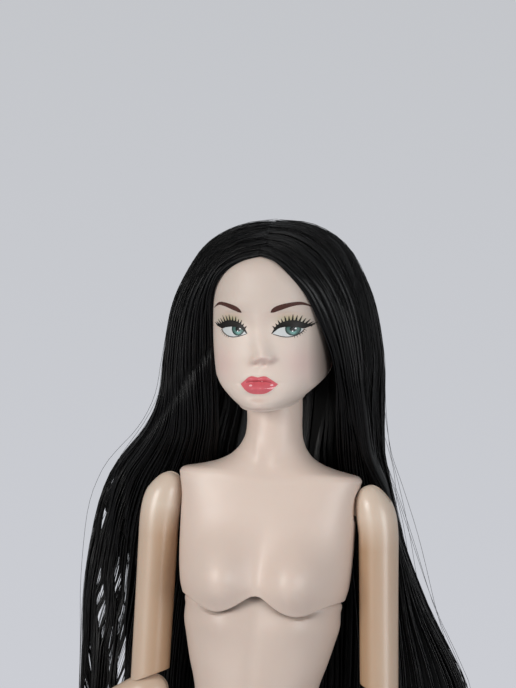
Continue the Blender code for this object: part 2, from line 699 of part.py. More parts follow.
def head_mesh(grow=0.0):
    """The head round the neck's ball, with a plain modelled face."""
    rings = []
    for height, width, front, back in HEAD_SHARES:
        place = (0.0, 0.0, between(CHIN_HEIGHT, SCALP_HEIGHT + grow, height) - NECK_BALL_HEIGHT)
        sizes = (HEAD_HALF_WIDTH * width + grow, FACE_FRONT * front + grow, HEAD_BACK * back + grow)
        rings.append((place, *sizes, 0.0))
    mesh_bm = loft(rings, HEAD_SEGMENTS)
    for vert in mesh_bm.verts:
        spot = vert.co
        rise = spot.z + CHIN_DROP
        if spot.y > 0.0:
            continue
        forward = (-spot.y / FACE_FRONT) ** 2
        nose_share = (NOSE_TIP_RISE + NOSE_LENGTH - rise) / NOSE_LENGTH
        nose = NOSE_REACH * max(0.0, min(1.0, nose_share)) * bell(spot.x, NOSE_HALF_WIDTH)
        if rise < NOSE_TIP_RISE:
            nose *= bell(rise - NOSE_TIP_RISE, NOSE_HALF_WIDTH)
        eye_side = bell(abs(spot.x) - EYE_X, EYE_HALF_WIDTH)
        eye = EYE_HOLLOW * eye_side * bell(rise - EYE_RISE, EYE_HALF_HEIGHT)
        lips = LIP_REACH * bell(spot.x, LIP_HALF_WIDTH) * bell(rise - LIP_RISE, LIP_HALF_HEIGHT)
        chin = CHIN_REACH * bell(spot.x, CHIN_SIZE) * bell(rise - CHIN_CENTRE_RISE, CHIN_SIZE)
        spot.y -= (nose + lips + chin - eye) * forward
    return mesh_bm


def build_head(material, turn_axis):
    piece = finish(head_mesh(), "head", material, turn_axis)
    hole_top = NECK_HOLE_DEPTH
    hole = rod(
        NECK_HOLE_RADIUS, CUT_OVERRUN, "Z", (0.0, 0.0, hole_top - CUT_OVERRUN / 2), LIMB_SEGMENTS)
    flange_low = NECK_STEM_LENGTH - FIT
    throat = rod(NECK_STEM_RADIUS + FIT, flange_low, "Z", (0.0, 0.0, (flange_low + hole_top) / 2))
    depth = NECK_FLANGE_THICKNESS + 2 * FIT
    groove = rod(NECK_FLANGE_RADIUS + FIT, depth, "Z", (0.0, 0.0, flange_low + depth / 2))
    boolean(piece, make_cutter(hole, "cut_neck_hole", turn_axis))
    boolean(piece, make_cutter(throat, "cut_neck_throat", turn_axis))
    boolean(piece, make_cutter(groove, "cut_neck_groove", turn_axis))


def hair_rings(table, low, high, half_width):
    """Rings down the hair, round the neck's middle line."""
    rings = []
    for height, shift, width, middle, front, back in table:
        rise = between(low, high, height) - NECK_BALL_HEIGHT
        place = (-FALL_SHIFT * shift, HAIR_BACK * middle, rise)
        rings.append((place, half_width * width, HAIR_FRONT * front, HAIR_BACK * back, 0.0))
    return rings


def build_hair_cap(material, turn_axis):
    """The hair round the head: its outer form with the head taken out."""
    rings = hair_rings(CROWN_SHARES, NAPE_HEIGHT, HAIR_TOP_HEIGHT, HAIR_HALF_WIDTH)
    piece = finish(loft(rings, HAIR_SEGMENTS), "hair_cap", material, turn_axis)
    boolean(piece, make_cutter(head_mesh(FIT), "cut_head", turn_axis))
    top = HAIRLINE_RISE - CHIN_DROP
    opening = []
    for height, width in FACE_OPENING_SHARES:
        place = (0.0, 0.0, top * height)
        size = FACE_OPENING_HALF_WIDTH * width
        opening.append((place, size, CUT_OVERRUN, -FACE_OPENING_DEPTH, 0.0))
    boolean(piece, make_cutter(loft(opening, HAIR_SEGMENTS), "cut_face_opening", turn_axis))


def build_hair_fall(material, lean_axis, turn_axis, lift):
    """Hair beside the neck, and three falls side by side down the back."""
    nape = hair_rings(CROWN_SHARES, NAPE_HEIGHT, HAIR_TOP_HEIGHT, HAIR_HALF_WIDTH)[-2:]
    nape += hair_rings(NAPE_SHARES, HAIR_PARTING_HEIGHT + FIT, NAPE_HEIGHT, HAIR_HALF_WIDTH)
    piece = finish(loft(nape, HAIR_SEGMENTS), "hair_nape", material, lean_axis)
    place = (0.0, 0.0, level(NECK_BALL_HEIGHT) + lift)
    piece.location = place
    neck_room = NECK_OPENING_HALF_WIDTH
    front_room = block((-neck_room, -CUT_OVERRUN, -CUT_OVERRUN), (neck_room, neck_room, CUT_OVERRUN))
    bmesh.ops.translate(front_room, verts=front_room.verts, vec=place)
    boolean(piece, make_cutter(front_room, "cut_neck_room", lean_axis))
    boolean(piece, make_cutter(head_mesh(2 * FIT), "cut_head_room", turn_axis))
    above = block((-SEAM_REACH, -SEAM_REACH, NAPE_RISE - FIT), (SEAM_REACH, SEAM_REACH, SEAM_REACH))
    boolean(piece, make_cutter(above, "cut_nape_top", turn_axis))
    split = FALL_HALF_WIDTH * FALL_SPLIT_SHARE
    spans = (
        ("hair_fall_right", -SEAM_REACH, -split - FIT / 2),
        ("hair_fall_middle", -split + FIT / 2, split - FIT / 2),
        ("hair_fall_left", split + FIT / 2, SEAM_REACH))
    last = nape[-1]
    joined = ((last[0][0], last[0][1], last[0][2] - FIT), *last[1:])
    rings = [joined] + hair_rings(FALL_SHARES, HAIR_END_HEIGHT, HAIR_PARTING_HEIGHT, FALL_HALF_WIDTH)
    for name, near, far in spans:
        fall = finish(loft(rings, HAIR_SEGMENTS), name, material, lean_axis)
        fall.location = place
        keep = block((near, -SEAM_REACH, -SEAM_REACH), (far, SEAM_REACH, SEAM_REACH))
        boolean(fall, make_cutter(keep, "keep_" + name), "INTERSECT")


def tang(name, material, axis, radius, thickness, width, reach, direction, peg_radius, peg_length):
    """A hub: a flat disc, a bar and a round peg, along X or Z from a joint.

    The disc's flat sides face Y. The bar runs from the joint along the
    direction, and the peg goes on from there to the end of its length.
    """
    flat = rod(radius, thickness, "Y")
    piece = finish(flat, name, material, axis)
    half = thickness / 2
    along = Vector(direction)
    across = Vector((abs(along.z), 0.0, abs(along.x))) * (width / 2)
    start = -across - Vector((0.0, half, 0.0))
    end = along * (reach + FIT) + across + Vector((0.0, half, 0.0))
    low = [min(a, b) for a, b in zip(start, end)]
    high = [max(a, b) for a, b in zip(start, end)]
    boolean(piece, make_cutter(block(low, high), "add_bar_" + name, axis), "UNION")
    centre = along * (reach + peg_length / 2)
    letter = "X" if abs(along.x) > abs(along.z) else "Z"
    peg = rod(peg_radius, peg_length, letter, centre)
    boolean(piece, make_cutter(peg, "add_peg_" + name, axis), "UNION")
    return piece


def pin(name, material, axis, letter, radius, half_length):
    """A pin through a joint, and the hole that it runs in."""
    finish(rod(radius, 2 * half_length, letter), name, material, axis)
    return make_cutter(rod(radius + FIT, 2 * CUT_OVERRUN, letter), "cut_" + name, axis)


def build_arm(side, name, skin, hardware, lean_axis, lift, pose):
    """One arm: shoulder hub, upper arm, elbow knuckle, forearm and hand."""
    out, bend, turn = pose
    place = (side * SHOULDER_X, 0.0, level(SHOULDER_HEIGHT) + lift)
    swing = make_axis("shoulder_swing_axis_" + name, lean_axis, place)
    reach = SHOULDER_X - CHEST_HALF_WIDTH
    hub = tang(
        "shoulder_hub_" + name, hardware, swing, SHOULDER_TANG_RADIUS, SHOULDER_TANG_THICKNESS,
        SHOULDER_TANG_HEIGHT, reach, (-side, 0.0, 0.0), SHOULDER_PEG_RADIUS, SHOULDER_PEG_LENGTH)
    raise_axis = make_axis("shoulder_raise_axis_" + name, swing, (0.0, 0.0, 0.0), (0.0, -side * out, 0.0))
    rings = ball_rings(ARM_CAP_RADIUS)[::-1]
    rings += limb_rings(UPPER_ARM_SHARES, UPPER_ARM_LENGTH, ARM_CAP_RADIUS)
    rim_sizes = [ARM_CAP_RADIUS * share for share in ELBOW_RIM_SHARES]
    rings.append(((0.0, 0.0, ELBOW_RIM - UPPER_ARM_LENGTH), *rim_sizes, 0.0))
    arm = finish(loft(rings, LIMB_SEGMENTS), "upper_arm_" + name, skin, raise_axis)
    half_slot = SHOULDER_TANG_THICKNESS / 2 + FIT
    room = SHOULDER_TANG_RADIUS + FIT
    near, far = sorted((-side * CUT_OVERRUN, side * room))
    slot = block((near, -half_slot, -room), (far, half_slot, CUT_OVERRUN))
    boolean(arm, make_cutter(slot, "cut_shoulder_slot_" + name, raise_axis))
    reach = ARM_CAP_RADIUS - PIN_INSET
    hole = pin("shoulder_pin_" + name, hardware, raise_axis, "Y", SHOULDER_PIN_RADIUS, reach)
    boolean(arm, hole)
    boolean(hub, hole)
    elbow_place = (0.0, 0.0, -UPPER_ARM_LENGTH)
    swivel = make_axis("elbow_swivel_axis_" + name, raise_axis, elbow_place, (0.0, 0.0, 90.0 + side * turn))
    cup = make_cutter(ball(ELBOW_RADIUS + FIT, LIMB_SEGMENTS), "cut_elbow_cup_" + name, swivel)
    boolean(arm, cup)
    peg_start = ELBOW_RADIUS + FIT
    bore_top = peg_start + ELBOW_PEG_LENGTH + FIT
    bore = rod(ELBOW_PEG_RADIUS + FIT, bore_top, "Z", (0.0, 0.0, bore_top / 2))
    boolean(arm, make_cutter(bore, "cut_elbow_bore_" + name, swivel))
    knuckle = tang(
        "elbow_knuckle_" + name, hardware, swivel, ELBOW_TANG_RADIUS, ELBOW_TANG_THICKNESS,
        ELBOW_TANG_WIDTH, peg_start, (0.0, 0.0, 1.0), ELBOW_PEG_RADIUS, ELBOW_PEG_LENGTH)
    bend_axis = make_axis("elbow_bend_axis_" + name, swivel, (0.0, 0.0, 0.0), (0.0, bend, 0.0))
    build_forearm(name, skin, bend_axis)
    reach = ELBOW_RADIUS - PIN_INSET
    hole = pin("elbow_pin_" + name, hardware, bend_axis, "Y", ELBOW_PIN_RADIUS, reach)
    boolean(knuckle, hole)
    boolean(bpy.data.objects["forearm_" + name], hole)
    wrist = make_axis("wrist_turn_axis_" + name, bend_axis, (0.0, 0.0, -FOREARM_LENGTH), (0.0, 0.0, -90.0))
    build_hand(name, skin, hardware, wrist)


def build_forearm(name, skin, bend_axis):
    """The forearm bends towards its own -X, so its slot opens there."""
    rings = ball_rings(ELBOW_RADIUS)[::-1]
    sleeve = limb_rings(FOREARM_SHARES, FOREARM_LENGTH, ELBOW_RADIUS)
    for centre, half_width, front, back, tilt in sleeve:
        shift = (front - back) / 2
        rings.append(((-shift, 0.0, centre[2]), (front + back) / 2, half_width, half_width, tilt))
    end = FOREARM_LENGTH - WRIST_RIM
    rings.append(((0.0, 0.0, -end), WRIST_RADIUS, WRIST_RADIUS, WRIST_RADIUS, 0.0))
    forearm = finish(loft(rings, LIMB_SEGMENTS), "forearm_" + name, skin, bend_axis)
    half_slot = ELBOW_TANG_THICKNESS / 2 + FIT
    room = ELBOW_TANG_RADIUS + FIT
    slot = block((-CUT_OVERRUN, -half_slot, -room), (room, half_slot, CUT_OVERRUN))
    boolean(forearm, make_cutter(slot, "cut_elbow_slot_" + name, bend_axis))
    length = WRIST_PEG_DEPTH + CUT_OVERRUN
    bore = rod(WRIST_PEG_RADIUS + FIT, length, "Z", (0.0, 0.0, -end + WRIST_PEG_DEPTH - length / 2))
    boolean(forearm, make_cutter(bore, "cut_wrist_bore_" + name, bend_axis))


def hand_mesh():
    """A palm with four fingers and a thumb, drawn out of one box.

    The palm lies in the YZ plane and the thumb leaves it towards -Y.
    """
    top = -HAND_LENGTH * WRIST_SHARE
    knuckles = -HAND_LENGTH * KNUCKLE_SHARE
    mesh_bm = block(
        (-PALM_HALF_THICKNESS, -PALM_HALF_WIDTH, knuckles), (PALM_HALF_THICKNESS, PALM_HALF_WIDTH, top))
    for share in (-0.5, 0.0, 0.5):
        cut_plane(mesh_bm, (0.0, share * PALM_HALF_WIDTH, 0.0), (0.0, 1.0, 0.0))
    for share in THUMB_ROOT_SHARES:
        cut_plane(mesh_bm, (0.0, 0.0, -HAND_LENGTH * share), (0.0, 0.0, 1.0))
    for vert in mesh_bm.verts:
        if vert.co.z > top - FIT:
            vert.co.x *= WRIST_THICKNESS_SHARE
            vert.co.y *= WRIST_WIDTH_SHARE
    ends = [face for face in mesh_bm.faces if face.calc_center_median().z < knuckles + FIT]
    ends.sort(key=lambda face: face.calc_center_median().y)
    roots = [
        face for face in mesh_bm.faces
        if face.normal.y < -UPRIGHT_SHARE
        and THUMB_ROOT_SHARES[0] < -face.calc_center_median().z / HAND_LENGTH < THUMB_ROOT_SHARES[1]]
    for face, share in zip(ends, FINGER_SHARES):
        length = HAND_LENGTH * (1.0 - KNUCKLE_SHARE) * share / len(FINGER_TAPER_SHARES)
        draw_out(mesh_bm, face, Vector((0.0, 0.0, -length)), FINGER_TAPER_SHARES)
    step = THUMB_LENGTH / len(THUMB_TAPER_SHARES)
    angle = math.radians(THUMB_ANGLE)
    for face in roots:
        stride = Vector((0.0, -step * math.sin(angle), -step * math.cos(angle)))
        draw_out(mesh_bm, face, stride, THUMB_TAPER_SHARES)
    return mesh_bm


def cut_plane(mesh_bm, place, normal):
    geometry = list(mesh_bm.verts) + list(mesh_bm.edges) + list(mesh_bm.faces)
    bmesh.ops.bisect_plane(mesh_bm, geom=geometry, plane_co=place, plane_no=normal, dist=FIT / 100)


def draw_out(mesh_bm, face, step, tapers):
    """Extrude a face in equal steps, narrowed by a share at each step."""
    for taper in tapers:
        made = bmesh.ops.extrude_discrete_faces(mesh_bm, faces=[face])
        face = made["faces"][0]
        centre = face.calc_center_median()
        for vert in face.verts:
            vert.co = centre + (vert.co - centre) * taper + step


def build_hand(name, skin, hardware, wrist):
    """The hand in one piece, on a turned peg."""
    hand = finish(hand_mesh(), "hand_" + name, skin, wrist)
    rounding = hand.modifiers.new("rounding", "SUBSURF")
    rounding.levels = 1
    rounding.render_levels = 1
    top = WRIST_RIM + WRIST_PEG_DEPTH - FIT
    bottom = -HAND_LENGTH * WRIST_SHARE - WRIST_PEG_DEPTH
    peg = rod(WRIST_PEG_RADIUS, top - bottom, "Z", (0.0, 0.0, (top + bottom) / 2))
    finish(peg, "wrist_peg_" + name, hardware, wrist)
    bore_low = bottom - FIT
    bore = rod(WRIST_PEG_RADIUS + FIT, -bore_low, "Z", (0.0, 0.0, bore_low / 2))
    boolean(hand, make_cutter(bore, "cut_wrist_peg_" + name, wrist))


def build_leg(side, name, skin, hardware):
    """One leg: hip hub, thigh, shin and foot."""
    swing = make_axis("hip_swing_axis_" + name, None, (side * HIP_X, 0.0, level(HIP_HEIGHT)))
    inner = HIP_X - (WEB_HALF_WIDTH + HIP_BAR_GAP)
    near, far = sorted((-side * inner, 0.0))
    half = HIP_BLOCK_HALF
    hub = finish(rod(HIP_TANG_RADIUS, 2 * half, "Y"), "hip_hub_" + name, hardware, swing)
    bar = block((near, -half, -half), (far, half, half))
    boolean(hub, make_cutter(bar, "add_hip_bar_" + name, swing), "UNION")
    axle_room = HIP_AXLE_REACH + 2 * FIT
    centre = (-side * (HIP_X - axle_room / 2), 0.0, 0.0)
    boolean(hub, make_cutter(rod(HIP_AXLE_RADIUS + FIT, axle_room, "X", centre), "cut_axle_" + name, swing))
    spread = make_axis("hip_spread_axis_" + name, swing, (0.0, 0.0, 0.0))
    length = THIGH_LENGTH
    shift = -side * KNEE_INSET
    rings = ball_rings(HIP_RADIUS)[::-1] + limb_rings(THIGH_SHARES, length, HIP_RADIUS, shift)
    for centre, *sizes in ball_rings(KNEE_RADIUS, False):
        rings.append(((shift, 0.0, centre[2] - length), *sizes))
    thigh = finish(loft(rings, LIMB_SEGMENTS), "thigh_" + name, skin, spread)
    room = HIP_TANG_RADIUS + FIT
    near, far = sorted((-side * CUT_OVERRUN, side * room))
    slot = block((near, -half - FIT, -room), (far, half + FIT, CUT_OVERRUN))
    boolean(thigh, make_cutter(slot, "cut_hip_slot_" + name, spread))
    hole = pin("hip_pin_" + name, hardware, spread, "Y", HIP_PIN_RADIUS, HIP_RADIUS - PIN_INSET)
    boolean(thigh, hole)
    boolean(hub, hole)
    knee = make_axis("knee_bend_axis_" + name, spread, (shift, 0.0, -length))
    half_slot = KNEE_TANG_THICKNESS / 2 + FIT
    fork = block(
        (-half_slot, -CUT_OVERRUN, -CUT_OVERRUN), (half_slot, CUT_OVERRUN, KNEE_TANG_RADIUS + FIT))
    boolean(thigh, make_cutter(fork, "cut_knee_fork_" + name, knee))
    build_shin(side, name, skin, hardware, knee)
    hole = pin("knee_pin_" + name, hardware, knee, "X", KNEE_PIN_RADIUS, KNEE_RADIUS - PIN_INSET)
    boolean(thigh, hole)
    boolean(bpy.data.objects["shin_" + name], hole)


def build_shin(side, name, skin, hardware, knee):
    """The shin, with a flat tongue in the thigh's fork and one at the ankle."""
    length = SHIN_LENGTH
    shift = side * ANKLE_INSET
    rings = limb_rings(SHIN_SHARES, length, CALF_HALF_WIDTH, shift, CALF_DEPTH)
    slope = math.atan2(KNEE_BACK_EDGE - KNEE_FRONT_EDGE, 2 * KNEE_RADIUS)
    drop = (KNEE_FRONT_EDGE + KNEE_BACK_EDGE) / 2
    for index, share in enumerate(KNEE_SLOPE_SHARES):
        centre, half_width, front, back, tilt = rings[index]
        stretch = 1.0 / math.cos(slope * share)
        place = (centre[0], 0.0, centre[2] - drop * share)
        tilt = -math.degrees(slope * share)
        rings[index] = (place, half_width, front * stretch, back * stretch, tilt)
    end = length - ANKLE_RIM
    size = ANKLE_RADIUS * ANKLE_RIM_SHARE
    rings.append(((shift, 0.0, -end), size, size, size, 0.0))
    shin = finish(loft(rings, LIMB_SEGMENTS), "shin_" + name, skin, knee)
    boolean(shin, make_cutter(ball(KNEE_RADIUS + FIT, LIMB_SEGMENTS), "cut_knee_cup_" + name, knee))
    half = KNEE_TANG_THICKNESS / 2
    disc = rod(KNEE_TANG_RADIUS, KNEE_TANG_THICKNESS, "X", segments=LIMB_SEGMENTS)
    boolean(shin, make_cutter(disc, "add_knee_disc_" + name, knee), "UNION")
    half -= TONGUE_STEP
    depth = KNEE_TANG_RADIUS * TONGUE_DEPTH_SHARE
    tongue = block((-half, -depth, -2 * KNEE_RADIUS), (half, depth, -TONGUE_STEP))
    boolean(shin, make_cutter(tongue, "add_knee_tongue_" + name, knee), "UNION")
    turn = (0.0, 0.0, side * FOOT_TURN)
    ankle = make_axis("ankle_bend_axis_" + name, knee, (shift, 0.0, -length), turn)
    boolean(shin, make_cutter(ball(ANKLE_RADIUS + FIT), "cut_ankle_cup_" + name, ankle))
    disc = rod(ANKLE_TANG_RADIUS, ANKLE_TANG_THICKNESS, "X")
    boolean(shin, make_cutter(disc, "add_ankle_disc_" + name, ankle), "UNION")
    half = ANKLE_TANG_THICKNESS / 2 - TONGUE_STEP
    depth = ANKLE_TANG_RADIUS * TONGUE_DEPTH_SHARE
    tongue = block((-half, -depth, TONGUE_STEP), (half, depth, 2 * ANKLE_RADIUS))
    boolean(shin, make_cutter(tongue, "add_ankle_tongue_" + name, ankle), "UNION")
    build_foot(name, skin, ankle)
    hole = pin("ankle_pin_" + name, hardware, ankle, "X", ANKLE_PIN_RADIUS, ANKLE_RADIUS - PIN_INSET)
    boolean(shin, hole)
    boolean(bpy.data.objects["foot_" + name], hole)


def build_foot(name, skin, ankle):
    """An arched foot whose heel is raised, cut flat under the toes."""
    rings = ball_rings(ANKLE_RADIUS)[::-1]
    for forward, down, width, thickness, tilt in FOOT_SHARES:
        place = (0.0, -FOOT_REACH * forward, -ANKLE_HEIGHT * down)
        depth = FOOT_HALF_WIDTH * thickness
        rings.append((place, FOOT_HALF_WIDTH * width, depth, depth, -tilt))
    foot = finish(loft(rings, LIMB_SEGMENTS), "foot_" + name, skin, ankle)
    ground = block(
        (-CUT_OVERRUN, -CUT_OVERRUN * 2, -ANKLE_HEIGHT - CUT_OVERRUN),
        (CUT_OVERRUN, CUT_OVERRUN * 2, -ANKLE_HEIGHT))
    boolean(foot, make_cutter(ground, "cut_ground_" + name, ankle))
    half_slot = ANKLE_TANG_THICKNESS / 2 + FIT
    slot = block(
        (-half_slot, -CUT_OVERRUN, -ANKLE_TANG_RADIUS - FIT), (half_slot, CUT_OVERRUN, CUT_OVERRUN))
    boolean(foot, make_cutter(slot, "cut_ankle_slot_" + name, ankle))


def build_hip_axle(material):
    length = 2 * HIP_AXLE_REACH
    finish(rod(HIP_AXLE_RADIUS, length, "X", (0.0, 0.0, level(HIP_HEIGHT))), "hip_axle", material)


def main():
    clear_scene()
    torso_skin = make_material("torso_skin", (0.62, 0.48, 0.41), 0.42)
    limb_skin = make_material("limb_skin", (0.56, 0.42, 0.34), 0.30)
    face_skin = make_material("face_skin", (0.66, 0.52, 0.45), 0.50)
    hair = make_material("hair", (0.012, 0.012, 0.013), 0.32)
    hardware = make_material("joint_plastic", (0.55, 0.42, 0.34), 0.45)
    build_lower_torso(torso_skin)
    lean_axis = build_torso_ball(hardware)
    lift = build_chest(torso_skin, lean_axis)
    turn_axis = build_neck_knob(hardware, lean_axis, lift)
    build_head(face_skin, turn_axis)
    build_hair_cap(hair, turn_axis)
    build_hair_fall(hair, lean_axis, turn_axis, lift)
    right_pose = (RIGHT_ARM_OUT, RIGHT_ELBOW_BEND, RIGHT_ELBOW_TURN)
    left_pose = (LEFT_ARM_OUT, LEFT_ELBOW_BEND, LEFT_ELBOW_TURN)
    build_arm(-1, "right", limb_skin, hardware, lean_axis, lift, right_pose)
    build_arm(1, "left", limb_skin, hardware, lean_axis, lift, left_pose)
    build_hip_axle(hardware)
    for side, name in ((-1, "right"), (1, "left")):
        build_leg(side, name, limb_skin, hardware)


main()
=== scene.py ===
"""Looks of the fashion doll: plastic skins, painted face and rooted hair.

Tables are in millimetres: heights above the soles, widths to the doll's left
and depths to its back, both from its middle line. Meshes are in metres in the
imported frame, whose origin is the middle of the waist.
"""

import math

import bmesh
import bpy
import numpy as np
from mathutils import Matrix, Vector


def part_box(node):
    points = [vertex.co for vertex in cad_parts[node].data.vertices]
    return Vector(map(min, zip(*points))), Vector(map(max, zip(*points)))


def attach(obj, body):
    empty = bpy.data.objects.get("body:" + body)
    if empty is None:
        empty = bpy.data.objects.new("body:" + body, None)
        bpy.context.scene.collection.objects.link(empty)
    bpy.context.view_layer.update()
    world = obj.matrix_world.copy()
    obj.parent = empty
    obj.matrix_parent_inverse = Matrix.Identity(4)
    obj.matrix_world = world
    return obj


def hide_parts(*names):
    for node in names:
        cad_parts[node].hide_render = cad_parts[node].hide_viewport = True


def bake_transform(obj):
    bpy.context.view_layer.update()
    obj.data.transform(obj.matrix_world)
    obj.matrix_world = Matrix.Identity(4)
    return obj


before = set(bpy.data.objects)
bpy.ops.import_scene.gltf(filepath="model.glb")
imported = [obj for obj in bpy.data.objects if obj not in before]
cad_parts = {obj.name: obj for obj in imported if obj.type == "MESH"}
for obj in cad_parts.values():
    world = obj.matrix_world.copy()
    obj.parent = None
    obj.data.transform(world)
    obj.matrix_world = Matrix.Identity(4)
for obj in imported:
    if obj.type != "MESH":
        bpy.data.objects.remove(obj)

bl_info = {
    "name": "Fashion Doll",
    "version": (1, 0, 0),
    "blender": (4, 5, 0),
    "location": "View3D > Sidebar > Doll",
    "description": "Builds the doll's skins, painted face and hair over its packed frame",
    "category": "Object",
}

MM = 0.001
SIDES = ((-1, "right"), (1, "left"))

# Places of the joints, as in the part's source
WAIST_HEIGHT = 191.0
SHOULDER_HEIGHT = 239.0
SHOULDER_X = 24.0
UPPER_ARM_LENGTH = 43.3
FOREARM_LENGTH = 36.5
NECK_BALL_HEIGHT = 259.5
HIP_HEIGHT = 160.0
HIP_X = 11.5
THIGH_LENGTH = 76.0
KNEE_INSET = 3.2
SHIN_LENGTH = 62.5
ANKLE_INSET = 0.6
ANKLE_HEIGHT = 21.5
HEAD_LEAN = -3.5
HEAD_TURN = -5.3
ARM_OUT = {"right": 0.3, "left": 3.5}
ELBOW_BEND = {"right": 62.0, "left": 0.0}
ELBOW_TURN = {"right": 90.0, "left": 0.0}
FOOT_TURN = 6.0

# The seam between the torso's front and back shells
SEAM_BACK = 1.3
SEAM_DEPTH = 0.10
SEAM_SPREAD = 0.16

# Bust shell, rings upwards: height, half width, front, back, squareness
BUST_ROWS = (
    (218.2, 17.90, 11.2, 10.0, 2.30),
    (220.5, 18.40, 11.4, 10.2, 2.35),
    (223.0, 18.70, 11.3, 10.4, 2.40),
    (228.0, 19.00, 10.9, 10.6, 2.45),
    (233.0, 19.10, 10.2, 10.7, 2.50),
    (237.5, 19.15, 9.4, 10.5, 2.60),
    (241.0, 19.35, 8.65, 10.0, 2.70),
    (243.6, 19.75, 8.0, 9.3, 2.70),
    (244.9, 19.80, 7.65, 8.8, 2.60),
    (245.6, 18.90, 7.45, 8.4, 2.50),
    (246.3, 15.60, 7.25, 7.9, 2.40),
    (247.2, 12.40, 7.0, 7.4, 2.25),
    (248.5, 9.70, 6.7, 7.0, 2.10),
    (250.2, 7.95, 6.4, 6.6, 2.0),
    (252.5, 6.80, 6.2, 6.3, 2.0),
    (255.5, 6.30, 6.1, 6.10, 2.0),
    (259.0, 6.15, 6.05, 6.05, 2.0),
    (262.0, 6.00, 5.95, 5.95, 2.0),
)
# Wall of the bust shell at its lower rim, inside to outside: height and inset,
# and the share of the shell's rings that it takes
BUST_RIM_SHARE = 0.08
BUST_RIM_ROWS = ((223.0, 0.95), (220.2, 0.92), (218.8, 0.84), (218.35, 0.60), (218.18, 0.30), (218.22, 0.08))
# Lower edge of the bust in front: place across and height
RIM_LINE = (
    (0.0, 219.4), (1.2, 219.15), (2.6, 218.2), (4.5, 216.8), (6.5, 215.7), (8.6, 215.1),
    (10.6, 215.3), (12.8, 216.2), (15.0, 217.3), (17.0, 218.0), (19.2, 218.3))
# Lower edge of the bust at its sides, and where rings stop following that edge
RIM_SIDE_HEIGHT = 218.6
RIM_FOLLOW_TOP = 232.0
# How far the waist is pushed to the right
WAIST_SWAY = 0.55
# How far the neck's right side is drawn in
NECK_TRIM = 0.6
# Dish in the side of the bust that leaves room for the raised arm's cap
ARM_DISH_RADIUS = 5.95
# Breasts: place, reach, spreads inwards, outwards, downwards and upwards from
# it, how full the form is, and how it is rounded off at the middle line
BREAST_X = 8.6
BREAST_HEIGHT = 222.4
BREAST_REACH = 5.7
BREAST_SPREAD_ACROSS = (6.0, 7.8)
BREAST_SPREAD_UP = (6.6, 8.0)
BREAST_FULLNESS = 2.25
BREAST_ROUNDING = 1.9

# Soft bumps and hollows, one in each row here and in the tables like it: place
# across, height, reach outward, and the spread across, upwards and downwards.
# Those off the middle line are on both sides. On the bust: the notch between
# the collar bones and the groove between the breasts.
BUST_RELIEF = (
    (0.0, 247.0, -0.30, 1.7, 1.7, 1.7),
    (0.0, 226.0, -0.28, 1.5, 6.0, 9.0),
)
COLLAR_BONE = (9.0, 244.0, 0.16, 6.0, 1.1, 1.1)
COLLAR_SLOPE = 0.10
# Neck tendons, measured from a line: heights on it and places across
NECK_TENDON = (0.0, 249.5, 0.22, 0.95, 4.0, 2.2)
TENDON_LINE = ((246.5, 256.0), (1.8, 4.4))

# Abdomen and pelvis, rings upwards: height, half width, front, back
ABDOMEN_ROWS = (
    (151.5, 3.3, 3.6, 6.1),
    (153.9, 7.0, 7.4, 10.2),
    (157.8, 16.4, 10.1, 13.1),
    (162.6, 20.2, 11.3, 14.6),
    (168.1, 20.5, 12.0, 14.6),
    (173.2, 19.5, 12.2, 13.6),
    (179.2, 17.1, 11.8, 11.5),
    (185.1, 14.6, 11.0, 9.2),
    (190.0, 13.15, 10.5, 7.9),
    (194.9, 13.05, 10.4, 7.7),
    (199.2, 13.70, 10.6, 7.7),
    (204.1, 15.10, 10.8, 7.9),
    (209.0, 16.30, 10.8, 7.8),
    (212.7, 17.10, 10.6, 7.7),
    (215.6, 17.05, 10.2, 7.5),
    (217.9, 16.95, 9.7, 7.2),
    (218.6, 16.20, 9.3, 7.0),
    (220.2, 15.20, 9.0, 6.8),
    (222.4, 13.65, 8.2, 6.0),
    (224.5, 10.20, 6.0, 4.4),
    (225.5, 5.20, 3.1, 2.3),
    (225.7, 0.30, 0.3, 0.3),
)

ABDOMEN_SQUARENESS = 2.15
# Navel, line down the middle and flanks
BELLY_RELIEF = (
    (0.0, 189.0, -0.9, 0.75, 0.95, 0.95),
    (0.0, 202.0, -0.30, 1.3, 9.0, 9.0),
    (12.0, 176.0, 0.30, 4.0, 4.5, 4.5),
)
# Ribs that push out just under the edge of the bust
RIB_RELIEF = ((8.4, 213.6, 1.6, 5.6, 5.2, 5.2),)
# Cleft, spine, seat and dimples at the back
BACK_RELIEF = (
    (0.0, 160.0, -1.7, 1.3, 6.5, 9.0),
    (0.0, 195.0, -0.55, 1.6, 16.0, 16.0),
    (8.6, 164.5, 1.0, 5.8, 7.5, 7.5),
    (6.0, 180.5, -0.35, 1.3, 1.3, 1.3),
)
# Hip sockets and the cut under each side that leaves room for the thigh
HIP_SOCKET_RADIUS = 9.5
HIP_AXLE_RADIUS = 1.6
CROTCH_HALF_WIDTH = 1.9
LEG_CUT_BACK = 2.0
LEG_CUT_TOP_BACK = 163.0
LEG_CUT_TOP_FRONT = 169.8

